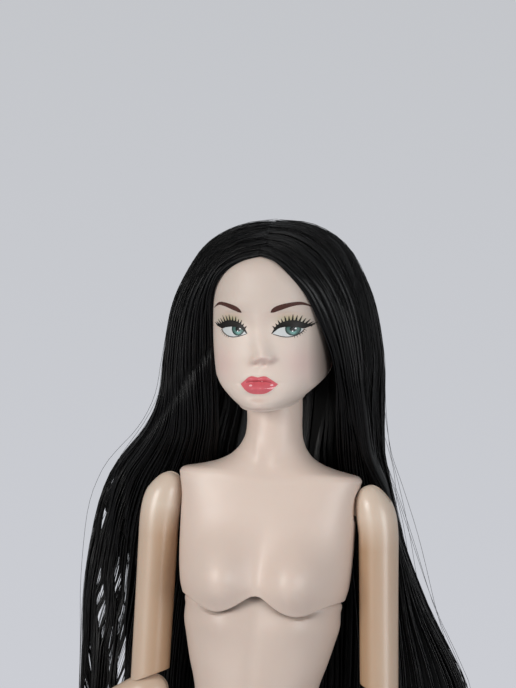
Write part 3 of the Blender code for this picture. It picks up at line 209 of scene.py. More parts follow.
# Head, rings upwards: height, half width, front, back
HEAD_ROWS = (
    (258.45, 6.75, 10.4, 7.4),
    (258.65, 6.95, 12.1, 8.0),
    (259.3, 7.35, 13.30, 8.9),
    (260.6, 8.95, 14.0, 10.2),
    (262.8, 11.05, 14.15, 12.3),
    (265.3, 12.20, 14.05, 13.9),
    (268.1, 12.60, 14.1, 14.9),
    (270.9, 12.80, 14.25, 15.5),
    (273.6, 13.00, 14.1, 15.9),
    (276.4, 13.15, 13.9, 16.2),
    (279.6, 13.20, 14.4, 16.2),
    (283.1, 13.15, 14.9, 16.2),
    (287.1, 12.70, 14.7, 15.8),
    (291.1, 11.27, 13.3, 14.3),
    (294.2, 8.80, 10.4, 11.5),
    (296.2, 5.80, 6.9, 7.8),
    (297.4, 0.10, 0.1, 0.1),
)
HEAD_SQUARENESS = 2.12
# Shares of the head's rings below each height
HEAD_RING_SHARES = ((0.03, 258.6), (0.10, 260.0), (0.36, 268.5), (0.74, 284.0))
# How much the underside of the jaw rises towards the ears, and between which
# heights the rise fades
JAW_RISE = 3.6
JAW_LOW = 259.5
JAW_TOP = 272.0
# Hole for the neck's ball, and the share of the head's rings that it takes
NECK_HOLE_RADIUS = 6.5
NECK_HOLE_TOP = 264.2
NECK_HOLE_SHARE = 0.06

# How far the nose's tip stands to the left, its height and the spreads of the
# lean up and down from there, and which bumps belong to the nose
NOSE_LEAN = 1.35
NOSE_TIP_HEIGHT = 270.9
NOSE_LEAN_SPREADS = (3.6, 1.7)
NOSE_WIDTH = 3.2

# Relief of the face, which fades out round the sides behind this depth
FACE_DEPTH = 14.9
FACE_RELIEF = (
    (0.0, 270.9, 2.00, 2.05, 2.7, 1.10),
    (0.0, 274.0, 0.70, 1.95, 2.8, 2.4),
    (0.0, 278.0, 0.25, 2.2, 2.6, 2.8),
    (0.0, 270.6, 0.38, 1.25, 1.0, 0.8),
    (1.85, 270.1, 0.85, 0.85, 0.95, 0.75),
    (0.95, 269.15, -0.42, 0.48, 0.38, 0.42),
    (0.0, 268.0, -0.14, 0.45, 0.8, 0.8),
    (1.25, 266.10, 0.72, 1.35, 0.62, 0.55),
    (0.0, 265.95, 0.30, 0.62, 0.40, 0.40),
    (1.20, 264.10, 1.20, 1.55, 0.85, 0.95),
    (0.0, 264.20, 0.28, 1.1, 0.7, 0.9),
    (0.0, 261.95, -0.42, 2.3, 0.75, 0.75),
    (0.0, 260.3, 0.80, 2.6, 1.6, 1.4),
    (4.20, 265.0, -0.22, 0.60, 0.6, 0.6),
    (7.6, 270.9, 0.42, 3.4, 3.2, 3.6),
    (5.8, 278.2, -0.95, 3.1, 2.3, 2.6),
    (5.8, 276.5, 0.78, 2.6, 1.6, 1.7),
    (2.4, 277.4, -0.30, 1.3, 2.2, 2.2),
    (5.8, 280.2, -0.14, 3.2, 0.4, 0.4),
    (6.4, 282.2, 0.28, 3.4, 1.6, 1.3),
    (11.2, 279.5, -0.20, 2.2, 3.0, 3.0),
)
MOUTH_LINE = ((0.0, 265.60), (0.8, 265.46), (1.7, 265.48), (2.8, 265.30), (4.15, 264.98))
MOUTH_CREASE = 0.42
MOUTH_CREASE_SPREAD = 0.30
MOUTH_CREASE_REACH = 3.4

# Sprayed colour on the face, in rows like the relief's with its strength as the
# reach. The nose's own rows are measured from the nose.
BLUSH = ((8.6, 269.4, 0.42, 3.0, 3.4, 3.4), (0.0, 259.2, 0.20, 2.0, 1.6, 1.6))
NOSE_BLUSH = ((0.0, 270.4, 0.22, 1.5, 1.2, 1.2),)
# Painted shade in the hollows: under the lower lip, in the crease over each eye, in the nostrils and beside
# the nose's wings
SHADE_HOLLOWS = ((0.0, 261.7, 0.30, 2.2, 0.6, 0.6), (5.8, 279.9, 0.35, 3.4, 0.45, 0.45))
NOSE_SHADE_HOLLOWS = ((0.95, 269.2, 0.55, 0.45, 0.36, 0.36), (2.3, 269.8, 0.30, 0.9, 1.2, 1.2))
# Powder over the eyes: strength, height, place outward from the eye's middle,
# and spreads upwards, downwards, outwards and inwards
EYE_POWDER = (0.80, 278.9, 0.6, 1.1, 1.2, 2.6, 2.2)

# Painted face, in millimetres from the eye's middle, outward and up
EYE_X = {"right": 5.8, "left": 6.15}
EYE_HEIGHT = 276.9
IRIS_X = {"right": 4.65, "left": 7.2}
IRIS_RADIUS = 1.55
PUPIL_RADIUS = 0.60
EYE_UPPER = (
    (-3.1, -1.12), (-2.4, -0.42), (-1.7, 0.08), (-0.5, 0.38),
    (0.9, 0.40), (2.1, 0.25), (3.0, -0.10))
EYE_LOWER = (
    (-3.1, -1.12), (-2.05, -1.38), (-0.9, -1.66), (0.4, -1.72),
    (1.6, -1.42), (2.5, -0.85), (3.0, -0.10))
LINER_LOWER = (
    (-3.25, -1.20), (-2.5, -0.54), (-1.75, 0.02), (-0.9, 0.28), (0.1, 0.36), (1.1, 0.34),
    (2.1, 0.20), (3.0, -0.04), (3.7, 0.20), (4.35, 0.50), (4.95, 0.82))
LINER_UPPER = (
    (-3.30, -1.05), (-2.55, 0.30), (-1.75, 1.02), (-0.9, 1.45), (0.1, 1.70), (1.1, 1.78),
    (2.1, 1.60), (3.0, 1.25), (3.75, 0.96), (4.4, 0.84), (4.98, 0.88))
LOWER_LINE_LOW = (
    (-3.0, -1.26), (-2.05, -1.56), (-0.9, -1.84), (0.4, -1.90), (1.6, -1.58), (2.6, -0.98), (3.2, -0.22))
LOWER_LINE_HIGH = (
    (-3.0, -1.14), (-2.05, -1.40), (-0.9, -1.67), (0.4, -1.72), (1.6, -1.40), (2.5, -0.82), (3.1, -0.08))
BROW_LOWER = (
    (-2.60, 3.38), (-2.0, 3.45), (-1.2, 3.75), (-0.3, 4.10), (0.7, 4.50), (1.7, 4.82),
    (2.6, 5.00), (3.3, 5.00), (4.1, 4.75), (5.0, 4.36))
BROW_UPPER = (
    (-2.66, 3.48), (-2.35, 4.10), (-1.7, 4.65), (-0.8, 5.05), (0.4, 5.40), (1.5, 5.62),
    (2.5, 5.72), (3.3, 5.58), (4.1, 5.12), (5.05, 4.40))
BROW_SHIFT = {"right": 0.55, "left": -0.45}
BROW_STRETCH = {"right": 1.0, "left": 1.10}
UPPER_LASHES = 13
LOWER_LASHES = 6

# Colours of the paints that have no setting of their own
EYE_WHITE = (0.60, 0.62, 0.62)
EYE_GLINT = (0.93, 0.95, 0.96)
PUPIL_COLOUR = (0.006, 0.008, 0.008)
LIP_GLINT_COLOUR = (0.93, 0.55, 0.57)
MOUTH_SHADE = 0.55

# How far each layer of paint stands off the face
PAINT_STEPS = {
    "white": 0.02, "brow": 0.03, "iris": 0.035, "pupil": 0.045, "lower_line": 0.05, "lips": 0.05,
    "glint": 0.055, "lower_lash": 0.055, "liner": 0.06, "mouth": 0.07, "upper_lash": 0.07, "lip_glint": 0.075}
# Glints in the eye, from the iris's middle: across, up, radius and segments
EYE_GLINTS = ((0.50, -0.02, 0.17, 20), (-0.06, -0.58, 0.13, 16))
PUPIL_DROP = 0.12
# Glints on the lips: place across, height and half width of each, and their
# outline, upper half, for a half width of 1
LIP_GLINTS = ((-1.55, 264.72, 0.40), (2.95, 264.78, 0.34), (0.85, 265.62, 0.20))
HALF_OVAL = ((-1.0, 0.0), (-0.7, 1.0 / 3.0), (0.0, 0.5), (0.7, 1.0 / 3.0), (1.0, 0.0))
# The painted line between the lips: its reach across, rise and drop
MOUTH_PAINT_REACH = 3.5
MOUTH_PAINT_RISE = 0.11
MOUTH_PAINT_DROP = 0.05

# Lips, in millimetres from the middle line, with heights
LIP_TOP = (
    (-4.15, 264.95), (-3.25, 265.62), (-2.4, 266.30), (-1.6, 266.68), (-0.8, 266.64), (0.0, 266.46),
    (0.8, 266.64), (1.6, 266.68), (2.4, 266.30), (3.25, 265.62), (4.15, 264.95))
LIP_BOTTOM = (
    (-4.15, 264.95), (-3.6, 264.35), (-2.8, 263.62), (-1.9, 263.12), (-1.0, 262.90), (0.0, 262.85),
    (1.0, 262.90), (1.9, 263.12), (2.8, 263.62), (3.6, 264.35), (4.15, 264.95))

# Upper arm, rings downwards from its off-centre cap: height over the pin, half
# width, half depth and shift outward
UPPER_ARM_ROWS = (
    (5.24, 0.02, 0.02, -1.70),
    (5.12, 0.95, 1.00, -1.78),
    (4.66, 1.80, 1.90, -1.76),
    (3.85, 2.62, 2.75, -1.64),
    (2.55, 3.46, 3.48, -1.33),
    (0.80, 4.12, 4.02, -0.92),
    (-1.8, 4.41, 4.26, -0.46),
    (-5.5, 4.34, 4.34, -0.03),
    (-11.0, 4.30, 4.30, 0.0),
    (-18.0, 4.25, 4.24, 0.0),
    (-25.0, 4.22, 4.16, 0.0),
    (-32.0, 4.20, 4.10, 0.0),
    (-37.0, 4.18, 4.05, 0.0),
    (-39.5, 4.15, 4.02, 0.0),
    (-39.8, 3.98, 3.86, 0.0),
)
# Slant of the upper arm's end, and over what length it sets in
ARM_END_SLOPE = 0.44
ARM_END_LENGTH = 9.0
ELBOW_CUP_RADIUS = 4.75
# Tints of the limb colour: painted shade on the inner sides of the arms, where the torso shades them, and
# painted light on their caps
INNER_SHADE_TINT = (0.745, 0.628, 0.495)
CAP_LIGHT_TINT = (1.15, 1.245, 1.335)
# Limbs, rings down from the joint: distance, half width, front, back, shift
FOREARM_ROWS = (
    (1.0, 4.05, 3.95, 4.45, 0.0),
    (4.2, 3.75, 3.45, 4.20, 0.0),
    (8.0, 3.45, 3.40, 3.90, 0.0),
    (13.9, 3.30, 3.45, 3.62, 0.0),
    (21.2, 3.00, 3.08, 3.12, 0.0),
    (28.5, 2.53, 2.65, 2.65, 0.0),
    (34.7, 2.40, 2.42, 2.42, 0.0),
    (35.3, 2.28, 2.30, 2.30, 0.0),
)
THIGH_ROWS = (
    (7.6, 9.06, 9.20, 9.66, 0.02),
    (16.7, 8.88, 9.38, 9.38, 0.20),
    (31.9, 8.19, 8.92, 8.46, 0.52),
    (47.1, 7.27, 8.00, 7.36, 0.76),
    (60.8, 6.39, 6.90, 6.35, 0.92),
    (69.9, 6.03, 6.35, 5.93, 0.98),
    (76.0, 6.00, 6.00, 6.00, 1.0),
)
SHIN_ROWS = (
    (0.0, 5.92, 6.08, 6.14, 0.0),
    (6.9, 5.92, 5.89, 6.57, 0.0),
    (18.1, 6.10, 5.33, 7.69, 0.1),
    (28.1, 5.61, 4.96, 7.07, 0.3),
    (40.6, 4.39, 4.22, 5.21, 0.6),
    (52.5, 3.42, 3.53, 3.84, 0.9),
    (60.6, 3.36, 3.36, 3.36, 1.0),
    (61.1, 3.20, 3.20, 3.20, 1.0),
)
# Slanted top of the shin: angle, how far it drops, and how it fades downwards
KNEE_SLOPE = 35.3
KNEE_DROP = 4.75
KNEE_SLOPE_ROWS = ((0.0, 1.0), (6.9, 0.55), (18.1, 0.12), (28.1, 0.0))
# Slots of the joints: half width, and how far each reaches past its pin
SLOTS = {
    "shoulder": (1.2, 2.7), "elbow": (1.1, 2.4), "hip": (2.8, 3.6), "knee": (1.5, 4.7), "ankle": (1.2, 2.5)}
# Radii of the holes for pins and pegs, and of the sockets in the shins
BORES = {"elbow_peg": 1.8, "elbow": 0.75, "wrist": 1.3, "hip": 1.3, "knee": 1.3, "ankle": 0.9}
ELBOW_PEG_LENGTH = 13.0
WRIST_PEG_DEPTH = 4.2
WRIST_CUT = 24.0
KNEE_SOCKET_RADIUS = 6.3
ANKLE_SOCKET_RADIUS = 3.7
# Far enough for a cutter to reach out of any limb
CLEAR = 20.0
# Share of a limb's rings that each of its round ends takes
ROUND_END_SHARE = 0.16
FOREARM_TOP_RADIUS = 4.5
THIGH_TOP_RADIUS = 9.2
THIGH_END_RADIUS = 6.0
# Foot: forward, down, half width, half thickness and tilt
FOOT_ROWS = (
    (0.0, 3.2, 3.36, 3.61, 0.0),
    (-0.2, 7.1, 3.49, 4.20, 12.0),
    (1.2, 11.2, 3.44, 4.28, 34.0),
    (5.1, 14.6, 3.36, 3.19, 47.0),
    (9.4, 17.6, 3.86, 2.18, 55.0),
    (13.1, 19.5, 4.20, 1.85, 72.0),
    (16.8, 20.4, 3.86, 1.39, 84.0),
    (19.5, 20.75, 2.60, 1.01, 88.0),
    (20.5, 20.86, 1.18, 0.59, 90.0),
)
# Round top of the foot: its height, and the share of the rings that it takes
FOOT_TOP_RISE = 6.6
FOOT_TOP_SHARE = 0.12
FOOT_TIP_SHARE = 0.98
TOE_WAVES = 4.6
TOE_GROOVE = 0.13

# Hand: palm, places of the cuts across and down it, and the fingers' and the
# thumb's lengths, with how much they narrow at each of their steps
PALM_LOW = (-1.7, -3.4, -10.5)
PALM_HIGH = (1.7, 3.4, -0.6)
FINGER_CUTS = (-1.7, 0.0, 1.7)
PALM_CUTS = (-3.5, -7.0)
WRIST_SCALE = (1.15, 0.66)
FINGER_LENGTHS = (8.1, 9.0, 8.5, 6.8)
FINGER_TAPERS = (0.80, 0.98, 1.03, 0.95, 0.93, 0.80)
THUMB_LENGTH = 7.8
THUMB_TAPERS = (0.72, 0.98, 1.02, 0.93, 0.78)
THUMB_ANGLE = 34.0

# Hair, five leading strands on each side from the front edge of the face
# opening round to the middle of the back. Each row is a place on the strand:
# outward, back and height. The outermost strand differs between the sides.
STRAND_FRONT_RIGHT = (
    (-0.8, -13.5, 293.3), (4.6, -13.2, 292.2), (9.0, -11.6, 289.5), (11.8, -9.4, 286.0),
    (13.0, -7.4, 282.0), (13.4, -5.2, 277.0), (13.7, -3.0, 269.0), (13.7, -0.8, 260.0),
    (14.0, 3.4, 251.5), (15.0, 8.2, 244.0), (17.5, 11.4, 234.0), (19.5, 13.0, 218.0),
    (21.0, 13.8, 195.0), (20.5, 16.2, 148.0), (16.0, 15.2, 121.0))
STRAND_FRONT_LEFT = (
    (-0.8, -13.5, 293.3), (3.4, -13.6, 292.3), (7.2, -12.7, 289.4), (10.6, -11.0, 285.4),
    (12.9, -9.0, 280.6), (14.6, -6.4, 275.2), (15.4, -3.9, 270.4), (15.3, -1.2, 264.4),
    (14.6, 1.4, 257.5), (14.8, 5.8, 249.5), (16.6, 10.6, 238.0), (19.2, 13.0, 218.0),
    (21.0, 13.8, 195.0), (20.5, 16.2, 148.0), (16.0, 15.2, 121.0))
STRAND_CHEEK = (
    (-0.4, -9.5, 297.3), (6.0, -9.5, 296.5), (12.0, -8.8, 292.8), (16.3, -7.6, 286.2),
    (18.7, -6.2, 279.0), (20.0, -4.6, 270.0), (20.4, -2.6, 261.0), (21.0, 1.8, 252.0),
    (24.0, 7.8, 243.5), (26.5, 10.2, 233.0), (28.0, 12.4, 217.0), (31.0, 13.0, 196.0),
    (31.0, 15.4, 172.0), (28.0, 15.6, 148.0), (22.0, 14.8, 120.0))
STRAND_SIDE_RIGHT = (
    (-0.4, -3.0, 299.9), (7.5, -3.0, 299.1), (14.0, -2.6, 295.6), (18.8, -2.0, 288.6),
    (22.3, -1.2, 280.4), (24.2, -0.5, 270.0), (25.7, 0.8, 261.0), (29.7, 4.0, 252.0),
    (36.2, 8.0, 243.0), (39.8, 10.2, 232.0), (41.9, 12.0, 217.0), (41.6, 13.0, 196.0),
    (40.0, 15.0, 172.0), (35.0, 15.2, 148.0), (25.0, 14.6, 120.0))
STRAND_SIDE_LEFT = (
    (-0.4, -3.0, 299.9), (7.5, -3.0, 299.1), (14.3, -2.6, 295.4), (17.9, -2.0, 288.0),
    (19.9, -1.2, 279.8), (21.0, -0.5, 270.0), (19.8, 0.8, 261.0), (20.4, 3.6, 252.0),
    (23.2, 8.0, 243.0), (27.8, 10.2, 232.0), (34.4, 12.0, 217.0), (45.2, 13.4, 196.0),
    (46.5, 15.2, 172.0), (42.0, 15.2, 148.0), (31.0, 14.6, 120.0))
STRAND_BACK = (
    (-0.4, 5.0, 299.6), (7.0, 6.5, 298.5), (13.2, 9.5, 294.0), (16.8, 12.6, 286.5),
    (18.6, 15.0, 278.5), (19.4, 16.4, 270.0), (19.8, 17.0, 261.0), (20.8, 17.2, 252.0),
    (22.6, 17.6, 243.0), (24.2, 18.2, 232.0), (25.6, 19.2, 217.0), (27.6, 20.2, 196.0),
    (27.4, 21.6, 172.0), (24.0, 21.0, 148.0), (18.0, 18.2, 118.0))
STRAND_MIDDLE = (
    (-0.4, 13.0, 296.8), (-0.2, 15.4, 294.4), (0.0, 17.8, 289.5), (0.0, 19.5, 283.0),
    (0.0, 20.3, 276.5), (0.0, 20.5, 269.0), (0.0, 20.2, 260.5), (0.0, 19.8, 252.0),
    (0.0, 19.4, 243.0), (0.0, 19.4, 232.0), (0.0, 20.2, 217.0), (0.0, 21.4, 196.0),
    (0.0, 22.8, 172.0), (0.0, 22.4, 148.0), (0.0, 18.5, 117.0))
# Painted shadow of the hair's front edges on the face: side, strand, strength, reach
HAIR_SHADOWS = ((-1, STRAND_FRONT_RIGHT, 0.20, 1.2), (1, STRAND_FRONT_LEFT, 0.55, 2.6))
# How far the parting is off the middle line to the left, and how far each
# side's crown lies under its leading strands at their first places
PARTING_X = 0.9
CROWN_LOWERED = {"right": (0.25, 0.7, 0.9, 0.6), "left": (0.15, 0.45, 0.6, 0.4)}
# Outer limit of the inner mass low down on the right side: height and place
MASS_LIMIT = ((118.0, 24.0), (160.0, 28.0), (190.0, 29.6), (222.0, 31.2), (232.0, 35.0), (246.0, 60.0))
# How much further in a lock is seen for each millimetre it lies behind the gaps
VIEW_SLANT = 0.158
GAP_DEPTH = 12.5
# Gaps between the locks there: top and bottom height, place across at the top
# and at the bottom, and half width
HAIR_GAPS = (
    (220.5, 204.5, 39.3, 37.5, 1.15),
    (225.0, 207.5, 35.9, 33.4, 0.75),
    (210.0, 186.0, 33.4, 32.9, 0.95),
    (207.5, 199.0, 35.9, 35.4, 0.55),
    (241.0, 228.0, 37.2, 39.5, 0.50),
    (206.0, 180.0, 39.8, 41.4, 0.80),
    (198.0, 172.0, 36.2, 34.8, 0.70),
    (250.5, 240.0, 30.8, 37.6, 0.30),
)
# Heights where the hair is cut into bands; between the first two, the hair gives up the head's tilt
HEAD_TURN_START = 266.0
HEAD_TURN_END = 250.0
NECK_NOD_END = 236.0
BAND_LEVELS = (HEAD_TURN_START, HEAD_TURN_END, NECK_NOD_END)
# Depths of the layers of locks under the leading strands
LOCK_LAYERS = (0.25, 0.65, 1.1)
LOCK_THICKNESS = 0.26
RINGS_ON_LOCK = 66
RINGS_ON_STRAND = 40
FLYAWAYS = {"left": 11, "right": 6}

# Rings of the iris: distance from its middle and share of its colour
IRIS_RINGS = ((0.16, 0.35), (0.24, 0.75), (0.34, 0.95), (0.41, 0.45), (0.50, 0.12))
IRIS_RAYS = 40.0
# Dark colour of the painted scalp at the roots of the hair, also used for the painted shadow of the hair on
# the face
SCALP_AND_SHADE_COLOUR = (0.022, 0.012, 0.008)
# How much darker the abdomen is coloured than the bust: painted shade from the bust above it
ABDOMEN_PAINTED_SHADE = 0.89

# Stage: colours of the backdrop below and above the horizon, of the light that
# it gives and of the floor, and the lamps, each with its place, size, power
# and colour, all pointed at the chest
BACKDROP_LOW = (0.600, 0.612, 0.655)
BACKDROP_HIGH = (0.552, 0.565, 0.594)
SKY_COLOUR = (0.93, 0.96, 1.0)
SKY_STRENGTH = 0.30
FLOOR_COLOUR = (0.60, 0.61, 0.65)
FLOOR_RADIUS = 0.75
FLOOR_FADE = (0.25, 0.72)
FLOOR_GAP = 0.0002
LAMP_AIM = (0.0, 0.0, 0.05)
LAMPS = (
    ("key_lamp", (-0.86, -1.08, 0.32), 0.60, 12.1, (1.0, 0.985, 0.96)),
    ("fill_lamp", (1.06, -0.94, 0.20), 0.60, 7.9, (0.97, 0.985, 1.0)),
    ("top_lamp", (0.0, 0.10, 1.15), 0.50, 0.9, (1.0, 1.0, 1.0)),
)

# What every colour setting has in common
COLOUR = {"subtype": "COLOR", "size": 3, "min": 0.0, "max": 1.0}


class DollSkinSettings(bpy.types.PropertyGroup):
    """Finish of the moulded plastic."""

    torso_colour: bpy.props.FloatVectorProperty(
        name="Torso", description="Colour of the bust and abdomen plastic",
        default=(0.675, 0.557, 0.480), **COLOUR)
    limb_colour: bpy.props.FloatVectorProperty(
        name="Limbs", description="Colour of the harder plastic of arms and legs",
        default=(0.545, 0.415, 0.312), **COLOUR)
    face_colour: bpy.props.FloatVectorProperty(
        name="Face", description="Colour of the face vinyl",
        default=(0.705, 0.603, 0.530), **COLOUR)
    blush_colour: bpy.props.FloatVectorProperty(
        name="Blush", description="Colour sprayed on the cheeks",
        default=(0.72, 0.47, 0.44), **COLOUR)
    shadow_colour: bpy.props.FloatVectorProperty(
        name="Eye shadow", description="Colour of the powder over the eyes",
        default=(0.42, 0.375, 0.185), **COLOUR)
    torso_roughness: bpy.props.FloatProperty(
        name="Torso roughness", description="How matt the torso plastic is",
        subtype="FACTOR", min=0.0, max=1.0, default=0.46)
    limb_roughness: bpy.props.FloatProperty(
        name="Limb roughness", description="How matt the limb plastic is",
        subtype="FACTOR", min=0.0, max=1.0, default=0.33)


class DollFaceSettings(bpy.types.PropertyGroup):
    """Colours of the painted face."""

    iris_colour: bpy.props.FloatVectorProperty(
        name="Iris", description="Colour of the painted irises",
        default=(0.092, 0.190, 0.172), **COLOUR)
    lip_colour: bpy.props.FloatVectorProperty(
        name="Lips", description="Colour of the lip paint",
        default=(0.66, 0.125, 0.150), **COLOUR)
    brow_colour: bpy.props.FloatVectorProperty(
        name="Brows", description="Colour of the brow paint",
        default=(0.075, 0.030, 0.024), **COLOUR)
    lash_colour: bpy.props.FloatVectorProperty(
        name="Lashes", description="Colour of the liner and lash paint",
        default=(0.012, 0.010, 0.009), **COLOUR)


class DollHairSettings(bpy.types.PropertyGroup):
    """Amount and finish of the rooted hair."""

    hair_colour: bpy.props.FloatVectorProperty(
        name="Hair", description="Colour of the hair fibre",
        default=(0.0022, 0.0021, 0.0023), **COLOUR)
    locks: bpy.props.IntProperty(
        name="Locks", description="Locks in each layer on each side of the parting",
        min=10, max=90, default=46)
    lock_width: bpy.props.FloatProperty(
        name="Lock width", description="Width of one lock across the hair",
        unit="LENGTH", subtype="DISTANCE", min=0.0005, max=0.005, default=0.0026)
    strands: bpy.props.IntProperty(
        name="Strands", description="Single strands laid over the locks on each side",
        min=0, max=900, default=700)
    strand_width: bpy.props.FloatProperty(
        name="Strand width", description="Thickness of one strand",
        unit="LENGTH", subtype="DISTANCE", min=0.00005, max=0.0005, default=0.00014)


class DollStageSettings(bpy.types.PropertyGroup):
    """Camera and light."""

    azimuth: bpy.props.FloatProperty(
        name="Azimuth", description="Camera's turn towards the doll's left side, in degrees",
        min=-180.0, max=180.0, default=9.0)
    elevation: bpy.props.FloatProperty(
        name="Elevation", description="Camera's angle above the horizon, in degrees",
        min=-90.0, max=90.0, default=2.0)
    roll: bpy.props.FloatProperty(
        name="Roll", description="Camera's turn about its own line of sight, in degrees",
        min=-45.0, max=45.0, default=3.2)
    distance: bpy.props.FloatProperty(
        name="Distance", description="Camera to doll",
        unit="LENGTH", subtype="DISTANCE", min=0.2, max=5.0, default=0.9)
    field: bpy.props.FloatProperty(
        name="Field", description="Height of the picture at the doll",
        unit="LENGTH", subtype="DISTANCE", min=0.02, max=1.0, default=0.1496)
    target: bpy.props.FloatVectorProperty(
        name="Target", description="Place that the camera looks at",
        subtype="XYZ", unit="LENGTH", size=3, default=(-0.0044, 0.0, 0.082))
    light: bpy.props.FloatProperty(
        name="Light", description="Level of all the lamps", subtype="FACTOR",
        min=0.0, max=4.0, soft_max=2.0, default=1.0)


def bell(distance, spread):
    """A smooth bump that is 1 at distance zero."""
    return np.exp(-((distance / spread) ** 2))


def uneven_bell(distance, above, below):
    """A smooth bump with its own spread on each side."""
    return np.where(distance > 0.0, bell(distance, above), bell(distance, below))


def ramp(value, start, end):
    """0 on the start's side, 1 past the end and even between them."""
    return np.clip((value - start) / (end - start), 0.0, 1.0)


def unit(vectors):
    """Vectors along the last axis, made one long."""
    return vectors / (np.linalg.norm(vectors, axis=-1, keepdims=True) + 1e-9)


def off_middle(across, rounding):
    """Distance from the middle line, rounded off at the line itself."""
    return np.sqrt(across**2 + rounding)


def soft_bumps(rows, across, height):
    """Sum of the soft bumps and hollows of a relief table."""
    reach = np.zeros_like(height)
    for place, rise, amount, spread, above, below in rows:
        reach += amount * bell(np.abs(across) - place, spread) * uneven_bell(height - rise, above, below)
    return reach


def smooth_weights(knots, where):
    """For a smooth curve through knots: the knot before each place, the length
    of its step, and the weights of the two values and of the two slopes."""
    index = np.clip(np.searchsorted(knots, where, side="right") - 1, 0, len(knots) - 2)
    step = (knots[index + 1] - knots[index])[..., None]
    share = (where - knots[index])[..., None] / step
    values = (2 * share**3 - 3 * share**2 + 1, 3 * share**2 - 2 * share**3)
    slopes = (share**3 - 2 * share**2 + share, share**3 - share**2)
    return index, step, values, slopes


def read_curve(rows, where):
    """Values of a table on a smooth curve through its rows."""
    table = np.array(rows, float)
    knots = table[:, 0]
    values = table[:, 1:]
    slopes = np.gradient(values, knots, axis=0)
    where = np.clip(np.asarray(where, float), knots[0], knots[-1])
    index, step, by_value, by_slope = smooth_weights(knots, where)
    low = values[index] * by_value[0] + slopes[index] * step * by_slope[0]
    high = values[index + 1] * by_value[1] + slopes[index + 1] * step * by_slope[1]
    return low + high


def in_steps(rows):
    """A table with an even step from 0 to 1 put before each of its rows."""
    return [(step, *row) for step, row in zip(np.linspace(0.0, 1.0, len(rows)), rows)]


def section(around, half_width, front, back, squareness=2.0):
    """Points round a rounded section, from the front by the left to the back."""
    angle = 2.0 * math.pi * around
    sine = np.sin(angle)
    cosine = -np.cos(angle)
    power = 2.0 / squareness
    across = half_width * np.sign(sine) * np.abs(sine) ** power
    depth = np.where(cosine < 0.0, front, back)
    return across, depth * np.sign(cosine) * np.abs(cosine) ** power


def to_mesh(mesh_bm, name, recalculate=True):
    """A smooth mesh from a bmesh, which is freed."""
    if recalculate:
        bmesh.ops.recalc_face_normals(mesh_bm, faces=mesh_bm.faces)
    mesh = bpy.data.meshes.new(name)
    mesh_bm.to_mesh(mesh)
    mesh_bm.free()
    mesh.shade_smooth()
    return mesh


def to_object(mesh, name, material=None):
    """A mesh as an object in the scene."""
    piece = bpy.data.objects.new(name, mesh)
    bpy.context.scene.collection.objects.link(piece)
    if material is not None:
        mesh.materials.append(material)
    return piece


def grid(columns, rows, place, wrapped=True, closed=False):
    """A grid whose points go where place(u, v) says, in millimetres."""
    mesh_bm = bmesh.new()
    mesh_bm.loops.layers.uv.new("UVMap")
    bmesh.ops.create_grid(mesh_bm, x_segments=columns, y_segments=rows, size=0.5, calc_uvs=True)
    spots = np.array([vert.co for vert in mesh_bm.verts])[:, :2] + 0.5
    points = place(spots[:, 0], spots[:, 1]) * MM
    for vert, point in zip(mesh_bm.verts, points):
        vert.co = point
    if wrapped:
        bmesh.ops.remove_doubles(mesh_bm, verts=mesh_bm.verts, dist=1e-7)
    if closed:
        open_edges = [edge for edge in mesh_bm.edges if edge.is_boundary]
        bmesh.ops.holes_fill(mesh_bm, edges=open_edges, sides=0)
    return mesh_bm


def block(low, high):
    """A box between two corners."""
    mesh_bm = bmesh.new()
    bmesh.ops.create_cube(mesh_bm, size=1.0)
    size = [(upper - lower) * MM for lower, upper in zip(low, high)]
    middle = [(lower + upper) / 2 * MM for lower, upper in zip(low, high)]
    bmesh.ops.scale(mesh_bm, verts=mesh_bm.verts, vec=size)
    bmesh.ops.translate(mesh_bm, verts=mesh_bm.verts, vec=middle)
    return mesh_bm


def ball(radius, centre=(0.0, 0.0, 0.0), segments=48):
    """A sphere."""
    mesh_bm = bmesh.new()
    bmesh.ops.create_uvsphere(mesh_bm, u_segments=segments, v_segments=segments // 2, radius=radius * MM)
    bmesh.ops.translate(mesh_bm, verts=mesh_bm.verts, vec=Vector(centre) * MM)
    return mesh_bm


def rod(radius, length, axis, centre=(0.0, 0.0, 0.0), segments=24):
    """A cylinder along one axis."""
    mesh_bm = bmesh.new()
    ends = {"radius1": radius * MM, "radius2": radius * MM}
    bmesh.ops.create_cone(mesh_bm, cap_ends=True, segments=segments, depth=length * MM, **ends)
    turn = {"X": Matrix.Rotation(math.pi / 2, 3, "Y"), "Y": Matrix.Rotation(math.pi / 2, 3, "X")}
    if axis in turn:
        bmesh.ops.rotate(mesh_bm, verts=mesh_bm.verts, matrix=turn[axis])
    bmesh.ops.translate(mesh_bm, verts=mesh_bm.verts, vec=Vector(centre) * MM)
    return mesh_bm


def carve(mesh_bm, cutters, place, name):
    """Cut solids out of a mesh in its joint's frame, and put it in place."""
    piece = to_object(to_mesh(mesh_bm, name), name)
    tools = []
    for index, cutter in enumerate(cutters):
        tool = to_object(to_mesh(cutter, f"{name}_tool_{index}"), f"{name}_tool_{index}")
        modifier = piece.modifiers.new(f"cut_{index}", "BOOLEAN")
        modifier.operation = "DIFFERENCE"
        modifier.solver = "EXACT"
        modifier.object = tool
        tools.append(tool)
    graph = bpy.context.evaluated_depsgraph_get()
    mesh = bpy.data.meshes.new_from_object(piece.evaluated_get(graph))
    for tool in tools:
        bpy.data.objects.remove(tool, do_unlink=True)
    bpy.data.objects.remove(piece, do_unlink=True)
    mesh.transform(place)
    mesh.materials.clear()
    mesh.shade_smooth()
    mesh.set_sharp_from_angle(angle=math.radians(38))
    return mesh


def moved(x, y, z):
    return Matrix.Translation(Vector((x, y, z)) * MM)


def turned(angle, axis):
    return Matrix.Rotation(math.radians(angle), 4, axis)


